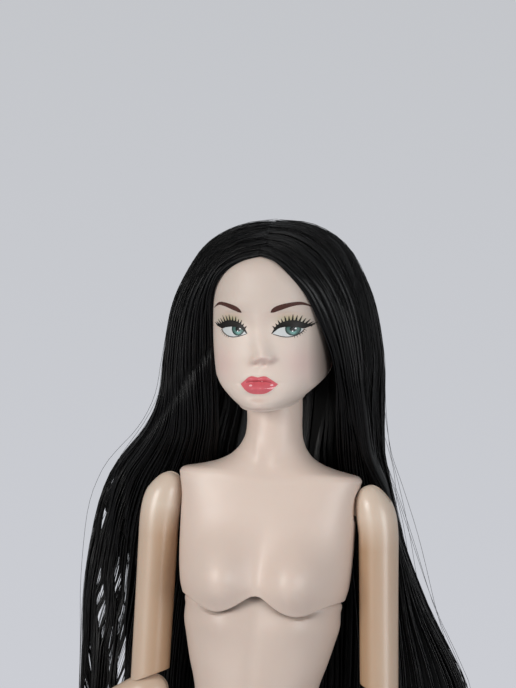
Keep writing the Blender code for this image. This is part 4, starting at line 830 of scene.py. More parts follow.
BODY_FRAME = moved(0.0, 0.0, -WAIST_HEIGHT)
HEAD_TILT = turned(HEAD_LEAN, "Y") @ turned(HEAD_TURN, "Z")
HEAD_FRAME = moved(0.0, 0.0, NECK_BALL_HEIGHT - WAIST_HEIGHT) @ HEAD_TILT @ moved(0.0, 0.0, -NECK_BALL_HEIGHT)


def joint_frames(side, name):
    """Where each limb piece's own frame is at rest."""
    arm = moved(side * SHOULDER_X, 0.0, SHOULDER_HEIGHT - WAIST_HEIGHT) @ turned(-side * ARM_OUT[name], "Y")
    elbow = arm @ moved(0.0, 0.0, -UPPER_ARM_LENGTH) @ turned(90.0 + side * ELBOW_TURN[name], "Z")
    forearm = elbow @ turned(ELBOW_BEND[name], "Y")
    hand = forearm @ moved(0.0, 0.0, -FOREARM_LENGTH) @ turned(-90.0, "Z")
    thigh = moved(side * HIP_X, 0.0, HIP_HEIGHT - WAIST_HEIGHT)
    shin = thigh @ moved(-side * KNEE_INSET, 0.0, -THIGH_LENGTH)
    foot = shin @ moved(side * ANKLE_INSET, 0.0, -SHIN_LENGTH) @ turned(side * FOOT_TURN, "Z")
    return {
        "arm": arm, "elbow": elbow, "forearm": forearm, "hand": hand,
        "thigh": thigh, "shin": shin, "foot": foot}


def put(piece, body, slot, *nodes):
    """Fasten a finished piece to its body, for the nodes it stands for."""
    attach(piece, body)
    if nodes:
        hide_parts(*nodes)
    return piece


def shader_of(material):
    return material.node_tree.nodes["Principled BSDF"]


def new_material(name, colour, roughness, specular=0.5):
    """A material with a flat colour to start from."""
    material = bpy.data.materials.new(name)
    material.use_nodes = True
    shader = shader_of(material)
    shader.inputs["Base Color"].default_value = (*colour, 1.0)
    shader.inputs["Roughness"].default_value = roughness
    shader.inputs["Specular IOR Level"].default_value = specular
    return material


def add_node(owner, kind, inputs=None, **settings):
    """A node of a material or world, with its settings and input values."""
    node = owner.node_tree.nodes.new(kind)
    for key, value in settings.items():
        setattr(node, key, value)
    for socket, value in (inputs or {}).items():
        node.inputs[socket].default_value = value
    return node


def link(owner, source, target):
    owner.node_tree.links.new(source, target)


def map_range(owner, source, start, end, low=0.0, high=1.0, **settings):
    """A socket that goes from low to high while the source goes from start to end."""
    limits = {"From Min": start, "From Max": end, "To Min": low, "To Max": high}
    node = add_node(owner, "ShaderNodeMapRange", limits, **settings)
    link(owner, source, node.inputs["Value"])
    return node.outputs["Result"]


def vector_math(owner, operation, first, second=None):
    """A vector calculation on a socket and a value or another socket."""
    node = add_node(owner, "ShaderNodeVectorMath", operation=operation)
    link(owner, first, node.inputs[0])
    if isinstance(second, bpy.types.NodeSocket):
        link(owner, second, node.inputs[1])
    elif second is not None:
        node.inputs[1].default_value = second
    return node


def mixed_colour(owner, factor_socket, first, second, blend="MIX"):
    """A mix of two colours, or of sockets that hold them."""
    mix = add_node(owner, "ShaderNodeMix", data_type="RGBA", blend_type=blend)
    link(owner, factor_socket, mix.inputs[0])
    for socket, value in ((mix.inputs[6], first), (mix.inputs[7], second)):
        if isinstance(value, bpy.types.NodeSocket):
            link(owner, value, socket)
        else:
            socket.default_value = (*value, 1.0)
    return mix.outputs[2]


def add_bump(material, height_socket, distance, strength=1.0, under=None):
    """A bump from a height, over another bump where one is given."""
    bump = add_node(material, "ShaderNodeBump", {"Distance": distance, "Strength": strength})
    link(material, height_socket, bump.inputs["Height"])
    if under is not None:
        link(material, under.outputs["Normal"], bump.inputs["Normal"])
    link(material, bump.outputs["Normal"], shader_of(material).inputs["Normal"])
    return bump


def noise(material, scale, detail=3.0, roughness=0.5, vector=None):
    """A noise texture, on the piece's own coordinates unless told otherwise."""
    node = add_node(
        material, "ShaderNodeTexNoise", {"Scale": scale, "Detail": detail, "Roughness": roughness})
    if vector is None:
        vector = add_node(material, "ShaderNodeTexCoord").outputs["Object"]
    link(material, vector, node.inputs["Vector"])
    return node


def store_masks(mesh, name, masks):
    """Keep four masks for each point of a mesh as a colour attribute."""
    layer = mesh.color_attributes.new(name, "FLOAT_COLOR", "POINT")
    layer.data.foreach_set("color", masks.astype(np.float32).ravel())


def read_masks(material, name):
    """Sockets of the four masks that store_masks keeps."""
    masks = add_node(material, "ShaderNodeAttribute", attribute_name=name)
    split = add_node(material, "ShaderNodeSeparateColor")
    link(material, masks.outputs["Color"], split.inputs["Color"])
    return split.outputs["Red"], split.outputs["Green"], split.outputs["Blue"], masks.outputs["Alpha"]


def shade_of(colour, share):
    """The colour, lighter or darker."""
    return tuple(min(1.0, channel * share) for channel in colour)


def warmer(colour, share):
    """The colour, deeper and redder."""
    return (colour[0] * (1.0 - share * 0.4), colour[1] * (1.0 - share), colour[2] * (1.0 - share * 1.1))


def plastic_material(name, colour, roughness, gloss):
    """Moulded plastic skin: faint mottling, a fine surface and a soft glow."""
    material = new_material(name, colour, roughness)
    shader = shader_of(material)
    mottle = noise(material, 90.0, 4.0, 0.55)
    tint = mixed_colour(material, mottle.outputs["Fac"], shade_of(colour, 1.035), warmer(colour, 0.075))
    link(material, tint, shader.inputs["Base Color"])
    shader.inputs["Subsurface Weight"].default_value = 0.12
    shader.inputs["Subsurface Radius"].default_value = (1.0, 0.45, 0.30)
    shader.inputs["Subsurface Scale"].default_value = 0.0016
    shader.inputs["Coat Weight"].default_value = gloss
    shader.inputs["Coat Roughness"].default_value = roughness * 0.6
    wear = noise(material, 260.0, 2.0, 0.5)
    spread = map_range(material, wear.outputs["Fac"], 0.0, 1.0, roughness - 0.05, roughness + 0.07)
    link(material, spread, shader.inputs["Roughness"])
    soft = noise(material, 420.0, 2.0, 0.5)
    first = add_bump(material, soft.outputs["Fac"], 0.00004, 0.5)
    fine = noise(material, 2600.0, 2.0, 0.6)
    add_bump(material, fine.outputs["Fac"], 0.000012, 0.5, first)
    return material


def skin_socket(material):
    """The socket that a plastic's colour comes from."""
    return shader_of(material).inputs["Base Color"].links[0].from_socket


def face_material(settings):
    """Face vinyl with sprayed blush and powder, painted shade in its hollows, and the dark scalp with the
    painted shadow of the hair, from the mesh's own masks.
    """
    colour = tuple(settings.face_colour)
    material = plastic_material("face_shell", colour, settings.torso_roughness + 0.06, 0.0)
    # The hollow mask is painted shade; the roots mask is the dark scalp together with the painted shadow of
    # the hair
    blush, powder, hollow_shade, roots = read_masks(material, "make_up_and_shade")
    blushed = mixed_colour(material, blush, skin_socket(material), tuple(settings.blush_colour))
    powdered = mixed_colour(material, powder, blushed, tuple(settings.shadow_colour))
    shaded = mixed_colour(material, hollow_shade, powdered, warmer(colour, 0.30))
    rooted_and_shadowed = mixed_colour(material, roots, shaded, SCALP_AND_SHADE_COLOUR)
    link(material, rooted_and_shadowed, shader_of(material).inputs["Base Color"])
    return material


def limb_material(settings):
    """Harder plastic, with painted light on the arms' caps and painted shade on their inner sides."""
    colour = tuple(settings.limb_colour)
    material = plastic_material("limb_shell", colour, settings.limb_roughness, 0.14)
    inner, cap, _, _ = read_masks(material, "arm_light_and_shade")
    lit_caps = mixed_colour(material, cap, skin_socket(material), CAP_LIGHT_TINT, "MULTIPLY")
    shaded_inside = mixed_colour(material, inner, lit_caps, INNER_SHADE_TINT, "MULTIPLY")
    link(material, shaded_inside, shader_of(material).inputs["Base Color"])


def paint_material(name, colour, roughness, variation=0.12, coat=0.0):
    """Opaque paint printed on vinyl, slightly uneven."""
    material = new_material(name, colour, roughness, 0.2)
    speckle = noise(material, 900.0, 3.0, 0.6).outputs["Fac"]
    pale, dark = shade_of(colour, 1.0 + variation), shade_of(colour, 1.0 - variation)
    link(material, mixed_colour(material, speckle, pale, dark), shader_of(material).inputs["Base Color"])
    shader_of(material).inputs["Coat Weight"].default_value = coat
    shader_of(material).inputs["Coat Roughness"].default_value = 0.08
    add_bump(material, speckle, 0.00001, 0.4)
    return material


def iris_rings(material, colour, distance):
    """Rings of colour by the distance from the iris's middle."""
    rings = add_node(material, "ShaderNodeValToRGB")
    stops = rings.color_ramp.elements
    for place, _ in IRIS_RINGS[1:-1]:
        stops.new(place)
    for stop, (place, share) in zip(stops, IRIS_RINGS):
        stop.position = place
        stop.color = (*shade_of(colour, share), 1.0)
    link(material, distance, rings.inputs["Fac"])
    return rings.outputs["Color"]


def iris_material(colour):
    """Rings and rays round the pupil, with painted shadow of the lid over the top and painted light in the
    lower half, from the piece's own UV map.
    """
    material = new_material("iris_paint", colour, 0.35, 0.2)
    flat = add_node(material, "ShaderNodeUVMap").outputs["UV"]
    centred = vector_math(material, "SUBTRACT", flat, (0.5, 0.5, 0.0)).outputs["Vector"]
    distance = vector_math(material, "LENGTH", centred).outputs["Value"]
    around = add_node(material, "ShaderNodeTexGradient", gradient_type="RADIAL")
    link(material, centred, around.inputs["Vector"])
    wave = add_node(material, "ShaderNodeMath", {1: IRIS_RAYS}, operation="MULTIPLY")
    link(material, around.outputs["Fac"], wave.inputs[0])
    spokes = add_node(material, "ShaderNodeTexNoise", {"Scale": 1.0}, noise_dimensions="1D")
    link(material, wave.outputs["Value"], spokes.inputs["W"])
    darker = mixed_colour(material, distance, shade_of(colour, 0.5), shade_of(colour, 0.2))
    rays = map_range(material, spokes.outputs["Fac"], 0.45, 0.70, 0.0, 0.45)
    streaked = mixed_colour(material, rays, iris_rings(material, colour, distance), darker)
    axes = add_node(material, "ShaderNodeSeparateXYZ")
    link(material, centred, axes.inputs["Vector"])
    # Painted shadow of the upper lid over the iris's top
    top = map_range(material, axes.outputs["Y"], 0.02, 0.26)
    shaded = mixed_colour(material, top, streaked, shade_of(colour, 0.06))
    # Painted light in the iris's lower half
    below = vector_math(material, "DISTANCE", centred, (0.02, -0.22, 0.0)).outputs["Value"]
    glow = map_range(material, below, 0.24, 0.06, 0.0, 0.85)
    lit = mixed_colour(material, glow, shaded, shade_of(warmer(colour, -0.25), 1.9))
    link(material, lit, shader_of(material).inputs["Base Color"])
    return material


def hair_material(name, colour, across, along, roughness):
    """Black fibre: fine streaks along each lock, from the piece's UV map."""
    material = new_material(name, colour, roughness, 0.30)
    shader = shader_of(material)
    stretch = add_node(material, "ShaderNodeMapping", {"Scale": (across, along, 1.0)})
    link(material, add_node(material, "ShaderNodeUVMap").outputs["UV"], stretch.inputs["Vector"])
    drift = noise(material, 60.0, 2.0).outputs["Color"]
    shifted = vector_math(material, "ADD", stretch.outputs["Vector"], drift).outputs["Vector"]
    fibres = noise(material, 1.0, 5.0, 0.65, shifted).outputs["Fac"]
    tint = mixed_colour(material, fibres, shade_of(colour, 0.5), shade_of(colour, 1.7))
    link(material, tint, shader.inputs["Base Color"])
    spread = map_range(material, fibres, 0.0, 1.0, roughness - 0.06, roughness + 0.16)
    link(material, spread, shader.inputs["Roughness"])
    add_bump(material, fibres, 0.00012, 0.9)
    return material


def bust_levels(along):
    """Height and wall inset up the bust shell, from inside its rim."""
    rim_heights, rim_insets = np.array(BUST_RIM_ROWS).T
    ring_heights = np.array([row[0] for row in BUST_ROWS])
    ring_shares = (ring_heights - ring_heights[0]) / (ring_heights[-1] - ring_heights[0])
    ring_steps = BUST_RIM_SHARE + ring_shares * (1.0 - BUST_RIM_SHARE)
    rim_steps = np.linspace(0.0, BUST_RIM_SHARE, len(rim_heights))
    level = np.interp(along, (*rim_steps, *ring_steps[1:]), (*rim_heights, *ring_heights[1:]))
    return level, np.interp(along, (*rim_steps, ring_steps[1]), (*rim_insets, 0.0))


def bust_place(around, along):
    """Points of the bust shell, from its inner wall over the rim and up."""
    level, inset = bust_levels(along)
    width, front, back, squareness = read_curve(BUST_ROWS, level).T
    across, depth = section(around, width - inset, front - inset, back - inset, squareness)
    facing = np.clip(-depth / front, 0.0, 1.0)
    low = BUST_ROWS[0][0]
    front_share = facing**0.5
    line = rim_line(across) * front_share + RIM_SIDE_HEIGHT * (1.0 - front_share)
    height = level + (line - low) * ramp(level, RIM_FOLLOW_TOP, low) ** 2
    depth = depth - breast_swell(across, height) * facing**0.8
    inner = off_middle(across, BREAST_ROUNDING)
    relief = soft_bumps(BUST_RELIEF, across, height)
    relief += soft_bumps((COLLAR_BONE,), inner, height - COLLAR_SLOPE * inner)
    relief += soft_bumps((NECK_TENDON,), inner - np.interp(height, *TENDON_LINE), height)
    depth = depth - relief * facing
    seam = seam_groove(depth) * ramp(height, 262.0, 258.0)
    reach = np.maximum(ARM_DISH_RADIUS**2 - depth**2 - (height - SHOULDER_HEIGHT) ** 2, 0.0)
    dish = np.where(reach > 0.0, SHOULDER_X - np.sqrt(reach), np.inf)
    across = np.sign(across) * np.minimum(np.abs(across) - seam, dish)
    trim = NECK_TRIM * bell(height - 254.0, 5.0) * ramp(across, 0.0, -4.0)
    return np.stack((across + trim, depth, height), axis=-1)


def rim_line(across):
    """Height of the lower edge of the bust in front, rounded off at the middle."""
    return read_curve(RIM_LINE, off_middle(across, 1.0))[:, 0]


def breast_swell(across, height):
    """How far the breasts stand forward."""
    inner = off_middle(across, BREAST_ROUNDING)
    towards, away = BREAST_SPREAD_ACROSS
    aside = (inner - BREAST_X) / np.where(inner > BREAST_X, away, towards)
    below, over = BREAST_SPREAD_UP
    above = (height - BREAST_HEIGHT) / np.where(height > BREAST_HEIGHT, over, below)
    return BREAST_REACH * np.exp(-np.hypot(aside, above) ** BREAST_FULLNESS)


def seam_groove(depth):
    """How deep the groove of the torso's side seam is."""
    return SEAM_DEPTH * bell(depth - SEAM_BACK, SEAM_SPREAD)


def abdomen_place(around, along):
    """Points of the abdomen and pelvis, from the crotch up into the bust."""
    low = ABDOMEN_ROWS[0][0]
    height = low + (ABDOMEN_ROWS[-1][0] - low) * along
    width, front, back = read_curve(ABDOMEN_ROWS, height).T
    across, depth = section(around, width, front, back, ABDOMEN_SQUARENESS)
    facing = np.clip(-depth / np.maximum(front, 0.1), 0.0, 1.0)
    behind = np.clip(depth / np.maximum(back, 0.1), 0.0, 1.0)
    under = ramp(height, rim_line(across) - 0.1, rim_line(across) - 0.6)
    belly = soft_bumps(BELLY_RELIEF, across, height) + soft_bumps(RIB_RELIEF, across, height) * under
    depth = depth - belly * facing
    depth = depth + soft_bumps(BACK_RELIEF, across, height) * behind
    sway = WAIST_SWAY * uneven_bell(height - 198.0, 11.0, 12.0)
    return np.stack((across - np.sign(across) * seam_groove(depth) - sway, depth, height), axis=-1)


def nose_lean(height):
    """How far the nose stands to the left of the middle line."""
    return NOSE_LEAN * uneven_bell(height - NOSE_TIP_HEIGHT, *NOSE_LEAN_SPREADS)


def face_relief(across, height):
    """How far the modelled face stands forward of the plain head."""
    nose = [row for row in FACE_RELIEF if row[0] < NOSE_WIDTH]
    rest = [row for row in FACE_RELIEF if row[0] >= NOSE_WIDTH]
    reach = soft_bumps(nose, across - nose_lean(height), height) + soft_bumps(rest, across, height)
    line = np.interp(np.abs(across), *zip(*MOUTH_LINE))
    return reach - MOUTH_CREASE * bell(height - line, MOUTH_CREASE_SPREAD) * bell(across, MOUTH_CREASE_REACH)


def face_facing(depth):
    """How much the face's relief counts, from 0 at the sides to 1 in front."""
    return np.clip(-depth / FACE_DEPTH, 0.0, 1.0) ** 2


def jaw_rise(depth, height):
    """How far the jaw's underside rises towards the ears."""
    share = ramp(height, JAW_TOP, JAW_LOW)
    back = np.clip((depth + 14.0) / 14.0, 0.0, 3.0) ** 1.15
    return JAW_RISE * back * share * share * (3.0 - 2.0 * share)


def head_place(around, along):
    """Points of the head, from inside the neck's hole up to the crown."""
    low = HEAD_ROWS[0][0]
    shares, heights = zip((0.0, low), *HEAD_RING_SHARES, (1.0, HEAD_ROWS[-1][0]))
    level = np.interp(ramp(along, NECK_HOLE_SHARE, 1.0), shares, heights)
    inward = ramp(along, NECK_HOLE_SHARE, 0.0)
    lip = ramp(inward, 0.0, 0.3)[:, None]
    wall = ramp(inward, 0.3, 0.9)
    radius = NECK_HOLE_RADIUS * (1.0 - ramp(inward, 0.9, 1.0))[:, None]
    sizes = read_curve(HEAD_ROWS, level) * (1.0 - lip) + radius * lip
    level = level + (NECK_HOLE_TOP - low) * wall
    across, depth = section(around, *sizes.T, HEAD_SQUARENESS)
    facing = face_facing(depth) * (1.0 - lip[:, 0])
    height = level + jaw_rise(depth, level)
    depth = depth - face_relief(across, level) * facing
    return np.stack((across, depth, height), axis=-1)


def face_point(across, height, offset):
    """A point on the face's surface, standing a little in front of it."""
    sizes = read_curve(HEAD_ROWS, height)
    share = np.clip(np.abs(across) / sizes[:, 0], 0.0, 0.999)
    depth = -sizes[:, 1] * (1.0 - share**HEAD_SQUARENESS) ** (1.0 / HEAD_SQUARENESS)
    raised = height + jaw_rise(depth, height)
    depth = depth - face_relief(across, height) * face_facing(depth) - offset
    return np.stack((across, depth, raised), axis=-1)


def polyline(points, share):
    """Points along an outline, on a smooth curve at even steps."""
    return read_curve(in_steps(points), share)


def face_patch(lower, upper, columns, rows, offset, mirror=1.0, shift=(0.0, 0.0)):
    """A painted shape between two outlines, laid on the face."""

    def place(across, along):
        low = polyline(lower, across)
        high = polyline(upper, across)
        flat = low + (high - low) * along[:, None]
        return face_point((flat[:, 0] + shift[0]) * mirror, flat[:, 1] + shift[1], offset)

    return grid(columns, rows, place, wrapped=False)


def face_disc(centre, radius, offset, segments=48):
    """A painted disc on the face, with its UV map centred on it."""

    def place(across, along):
        angle = 2.0 * math.pi * across
        reach = radius * along
        return face_point(centre[0] + reach * np.cos(angle), centre[1] + reach * np.sin(angle), offset)

    mesh_bm = grid(segments, 8, place)
    layer = mesh_bm.loops.layers.uv.verify()
    middle = Vector(centre)
    for face in mesh_bm.faces:
        for loop in face.loops:
            loop[layer].uv = Vector((0.5, 0.5)) + (loop.vert.co.xz / MM - middle) / radius / 2
    return mesh_bm


def outward(mesh_bm):
    """Turn every face of a painted shape to the front."""
    mesh_bm.normal_update()
    wrong = [face for face in mesh_bm.faces if face.normal.y > 0.0]
    bmesh.ops.reverse_faces(mesh_bm, faces=wrong)
    return mesh_bm


def face_piece(name, parts, material):
    """One painted piece of the face from its patches."""
    whole = bmesh.new()
    for part in parts:
        mesh = to_mesh(outward(part), name, recalculate=False)
        whole.from_mesh(mesh)
        bpy.data.meshes.remove(mesh)
    mesh = to_mesh(whole, name, recalculate=False)
    mesh.transform(HEAD_FRAME)
    return put(to_object(mesh, name, material), "head", "face_vinyl")


def mirrored(points, reach):
    """An outline from one side to the other, out to a reach."""
    near = [(x, z) for x, z in points if x <= reach]
    return tuple((-x, z) for x, z in reversed(near[1:])) + tuple(near)


def lash(root, angle, length, width, bend, offset, mirror):
    """One tapered lash stroke in the face's plane."""
    direction = np.array((math.cos(angle), math.sin(angle)))

    def place(across, along):
        side = np.array((direction[1], -direction[0]))
        path = np.array(root) + np.outer(along * length, direction) + np.outer(bend * along**2, side)
        path = path + np.outer((across - 0.5) * width * (1.0 - 0.92 * along), side)
        return face_point(path[:, 0] * mirror, path[:, 1], offset)

    return grid(2, 6, place, wrapped=False)


def limb_place(rows, top_radius=0.0, bottom_radius=0.0, slopes=None, shift_reach=0.0):
    """Points down a limb: a round top, its rings, and a round end."""
    top = rows[0][0]
    end = rows[-1][0]
    low = ROUND_END_SHARE if top_radius else 0.0
    high = 1.0 - ROUND_END_SHARE if bottom_radius else 1.0

    def place(around, along):
        share = ramp(along, low, high)
        down = top + (end - top) * share
        width, front, back, shift = read_curve(rows, down).T
        rise = ramp(along, low, 0.0) * math.pi / 2 if top_radius else 0.0
        drop = ramp(along, high, 1.0) * math.pi / 2 if bottom_radius else 0.0
        shrink = np.cos(rise) * np.cos(drop)
        across, depth = section(around, width * shrink, front * shrink, back * shrink)
        z = -down + np.where(share <= 0.0, (top_radius + top) * np.sin(rise), 0.0)
        z = z - np.where(share >= 1.0, bottom_radius * np.sin(drop), 0.0)
        if slopes is not None:
            amount = np.interp(down, *zip(*slopes))
            z = z - KNEE_DROP * amount - depth * np.tan(np.radians(KNEE_SLOPE) * amount)
        return np.stack((across + shift_reach * shift, depth, z), axis=-1)

    return place


def foot_mesh():
    """The arched foot, ankle ball to toes, with grooves between the toes."""
    rows = in_steps(FOOT_ROWS)

    def place(around, along):
        share = ramp(along, FOOT_TOP_SHARE, FOOT_TIP_SHARE)
        forward, down, width, thick, tilt = read_curve(rows, share).T
        rise = ramp(along, FOOT_TOP_SHARE, 0.0) * math.pi / 2
        shrink = np.cos(rise) * (1.0 - ramp(along, FOOT_TIP_SHARE, 1.0))
        angle = 2.0 * math.pi * around
        across = width * shrink * np.sin(angle)
        toes = ramp(share, 0.74, 0.94)
        wave = 0.5 - 0.5 * np.cos(across / width * math.pi * TOE_WAVES)
        ripple = 1.0 - TOE_GROOVE * toes * wave * (np.cos(angle) < 0.0)
        depth = -thick * shrink * np.cos(angle) * ripple
        tilt = np.radians(tilt)
        toe_curve = 1.1 * toes * (across / 4.2) ** 2
        y = -forward + depth * np.cos(tilt) + toe_curve
        z = -down - depth * np.sin(tilt) + np.where(share <= 0.0, FOOT_TOP_RISE * np.sin(rise), 0.0)
        return np.stack((across, y, z), axis=-1)

    return grid(48, 96, place, closed=True)


def hand_mesh():
    """A palm with four fingers and a thumb, drawn out of one box."""
    mesh_bm = block(PALM_LOW, PALM_HIGH)
    for across in FINGER_CUTS:
        cut_plane(mesh_bm, (0.0, across, 0.0), (0.0, 1.0, 0.0))
    for height in PALM_CUTS:
        cut_plane(mesh_bm, (0.0, 0.0, height), (0.0, 0.0, 1.0))
    for vert in mesh_bm.verts:
        if vert.co.z > (PALM_HIGH[2] - 0.3) * MM:
            vert.co.x *= WRIST_SCALE[0]
            vert.co.y *= WRIST_SCALE[1]
    mesh_bm.normal_update()
    middles = {face: face.calc_center_median() / MM for face in mesh_bm.faces}
    ends = [face for face in mesh_bm.faces if middles[face].z < PALM_LOW[2] + 0.3]
    ends.sort(key=lambda face: middles[face].y)
    low, high = sorted(PALM_CUTS)
    roots = [face for face in mesh_bm.faces if face.normal.y < -0.7 and low < middles[face].z < high]
    for face, length in zip(ends, FINGER_LENGTHS):
        draw_out(mesh_bm, face, Vector((0.0, 0.0, -length * MM / len(FINGER_TAPERS))), FINGER_TAPERS)
    step = THUMB_LENGTH * MM / len(THUMB_TAPERS)
    angle = math.radians(THUMB_ANGLE)
    for face in roots:
        draw_out(mesh_bm, face, Vector((0.0, -step * math.sin(angle), -step * math.cos(angle))), THUMB_TAPERS)
    return mesh_bm


def cut_plane(mesh_bm, place, normal):
    """Cut every face that a plane goes through, and keep both sides."""
    geometry = list(mesh_bm.verts) + list(mesh_bm.edges) + list(mesh_bm.faces)
    bmesh.ops.bisect_plane(mesh_bm, geom=geometry, plane_co=Vector(place) * MM, plane_no=normal, dist=1e-6)


def draw_out(mesh_bm, face, step, tapers):
    """Extrude a face in equal steps, narrowed by a share at each step."""
    for taper in tapers:
        made = bmesh.ops.extrude_discrete_faces(mesh_bm, faces=[face])
        face = made["faces"][0]
        centre = face.calc_center_median()
        for vert in face.verts:
            vert.co = centre + (vert.co - centre) * taper + step


def strand_tables(name):
    """The leading strands of one side of the head, front to back."""
    if name == "right":
        front, side, shift = STRAND_FRONT_RIGHT, STRAND_SIDE_RIGHT, -PARTING_X
    else:
        front, side, shift = STRAND_FRONT_LEFT, STRAND_SIDE_LEFT, PARTING_X
    tables = np.array((front, STRAND_CHEEK, side, STRAND_BACK, STRAND_MIDDLE))
    tables[:4, 0, 0] += shift
    tables[:4, 1, 0] += 0.4 * shift
    tables[1:4, :4, 2] -= np.array(CROWN_LOWERED[name])
    return tables


def hair_points(tables, round_share, along_share):
    """Points of the hair's surface, between the leading strands."""
    rounds = np.linspace(0.0, 1.0, tables.shape[0])
    stations = np.linspace(0.0, 1.0, tables.shape[1])
    leads = np.array([read_curve(np.column_stack((stations, lead)), along_share) for lead in tables])
    slopes = np.gradient(leads, rounds, axis=0)
    rows = np.arange(len(round_share))
    index, step, by_value, by_slope = smooth_weights(rounds, round_share)
    spots = leads[index, rows] * by_value[0] + slopes[index, rows] * step * by_slope[0]
    spots += leads[index + 1, rows] * by_value[1] + slopes[index + 1, rows] * step * by_slope[1]
    return spots


def lean_point(points):
    """Tilt the part of the hair that is on the head, as the head is tilted."""
    share = ramp(points[..., 2], HEAD_TURN_END, HEAD_TURN_START)[..., None]
    turn = np.array(HEAD_TILT.to_3x3())
    centre = np.array((0.0, 0.0, NECK_BALL_HEIGHT))
    leaning = (points - centre) @ turn.T + centre
    return points + (leaning - points) * share


def tube_template(sides, rings):
    """One closed tube, and the turn and ring of each of its points."""
    mesh_bm = grid(
        sides, rings - 1,
        lambda u, v: np.stack((np.cos(2 * math.pi * u), np.sin(2 * math.pi * u), v), axis=-1) / MM,
        closed=True)
    mesh_bm.verts.ensure_lookup_table()
    spots = np.array([vert.co for vert in mesh_bm.verts])
    mesh = to_mesh(mesh_bm, "tube")
    angles = np.arctan2(spots[:, 1], spots[:, 0])
    return mesh, angles, np.rint(spots[:, 2] * (rings - 1)).astype(int)


def lay_tubes(paths, outs, widths, thicknesses, template, angles, ring_of):
    """Tubes along many paths: an oval section, its flat side facing out."""
    whole = bmesh.new()
    tangents = unit(np.gradient(paths, axis=1))
    outs = unit(outs - tangents * np.sum(outs * tangents, axis=2, keepdims=True))
    sides = np.cross(tangents, outs)
    cosine = np.cos(angles)[:, None]
    sine = np.sin(angles)[:, None]
    for path, out, side, width, thick in zip(paths, outs, sides, widths, thicknesses):
        points = path[ring_of] + side[ring_of] * width[ring_of][:, None] * cosine
        points = points + out[ring_of] * thick[ring_of][:, None] * sine
        template.vertices.foreach_set("co", (points * MM).astype(np.float32).ravel())
        whole.from_mesh(template)
    return whole


def hair_outs(paths):
    """Outward directions: away from the head's and the neck's middle."""
    middle = np.zeros_like(paths)
    middle[..., 1] = np.interp(-paths[..., 2], (-300.0, -262.0, -245.0, -225.0), (0.0, 0.0, 6.0, 9.0))
    middle[..., 2] = np.minimum(paths[..., 2], 281.0)
    return unit(paths - middle)


def lock_paths(name, rings, random, depth, spread, start=(0.0, 0.0), reach=(0.9, 1.0)):
    """Paths of locks on one side, one for each depth, evenly round the head
    with small changes. Their starts and reaches are shares of the hair's length."""
    tables = strand_tables(name)
    side = -1.0 if name == "right" else 1.0
    count = len(depth)
    rounds = (np.arange(count) + 0.5 + random.uniform(-0.45, 0.45, count)) / count
    starts = random.uniform(*start, count)
    reaches = random.uniform(*reach, count)
    phases = random.uniform(0.0, 2.0 * math.pi, count)
    paths = np.empty((count, rings, 3))
    for index in range(count):
        along = starts[index] + (reaches[index] - starts[index]) * np.linspace(0.0, 1.0, rings)
        sway = spread * np.sin(along * 9.0 + phases[index]) * np.clip(along - 0.25, 0.0, 1.0)
        paths[index] = hair_points(tables, np.clip(rounds[index] + sway, 0.0, 1.0), along)
    outs = hair_outs(paths)
    ripple = np.sin(np.linspace(0.0, 1.0, rings)[None, :] * 14.0 + phases[:, None])
    paths = paths + outs * (ripple * 0.22 - depth)[..., None]
    if name == "right":
        for gap in HAIR_GAPS:
            inside, away = gap_distance(paths, gap)
            paths[..., 0] += np.where(away < 0.0, -1.0, 1.0) * inside * np.exp(-np.abs(away) / 1.1)
    paths[..., 0] *= side
    outs[..., 0] *= side
    return lean_point(paths), outs


def split_hair(mesh_bm, name, material):
    """Cut the hair into its crown, cheek, nape and fall bands at the band levels."""
    bmesh.ops.transform(mesh_bm, matrix=BODY_FRAME, verts=mesh_bm.verts)
    for height in BAND_LEVELS:
        cut_plane(mesh_bm, (0.0, 0.0, height - WAIST_HEIGHT), (0.0, 0.0, 1.0))
    edges = [(height - WAIST_HEIGHT) * MM for height in BAND_LEVELS]
    mesh_bm.faces.index_update()
    heights = [face.calc_center_median().z for face in mesh_bm.faces]
    band_of = [sum(height < edge for edge in edges) for height in heights]
    pieces = {}
    for index, band in enumerate(("crown", "cheek", "nape", "fall")):
        if index not in band_of:
            continue
        part = mesh_bm.copy()
        extra = [face for face in part.faces if band_of[face.index] != index]
        bmesh.ops.delete(part, geom=extra, context="FACES")
        mesh = to_mesh(part, f"{name}_{band}", recalculate=False)
        pieces[band] = to_object(mesh, f"{name}_{band}", material)
    mesh_bm.free()
    return pieces


def carry_hair(pieces, nodes=None):
    """Fasten the crown to the head and the fall to the upper torso, leaving the cheek and nape bands
    unfastened, and hide the nodes each band stands for.
    """
    for band, piece in pieces.items():
        if band == "crown":
            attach(piece, "head")
        elif band == "cheek":
            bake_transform(piece)
        elif band == "nape":
            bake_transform(piece)
        else:
            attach(piece, "upper_torso")
        if nodes and band in nodes:
            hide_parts(*nodes[band])


class DOLL_OT_stage(bpy.types.Operator):
    """Set up the pale floor, the soft light and the camera"""

    bl_idname = "doll.stage"
    bl_label = "Stage"

    def execute(self, context):
        settings = context.scene.doll_stage
        build_world()
        build_floor()
        build_lamps(settings)
        build_camera(settings)
        return {"FINISHED"}


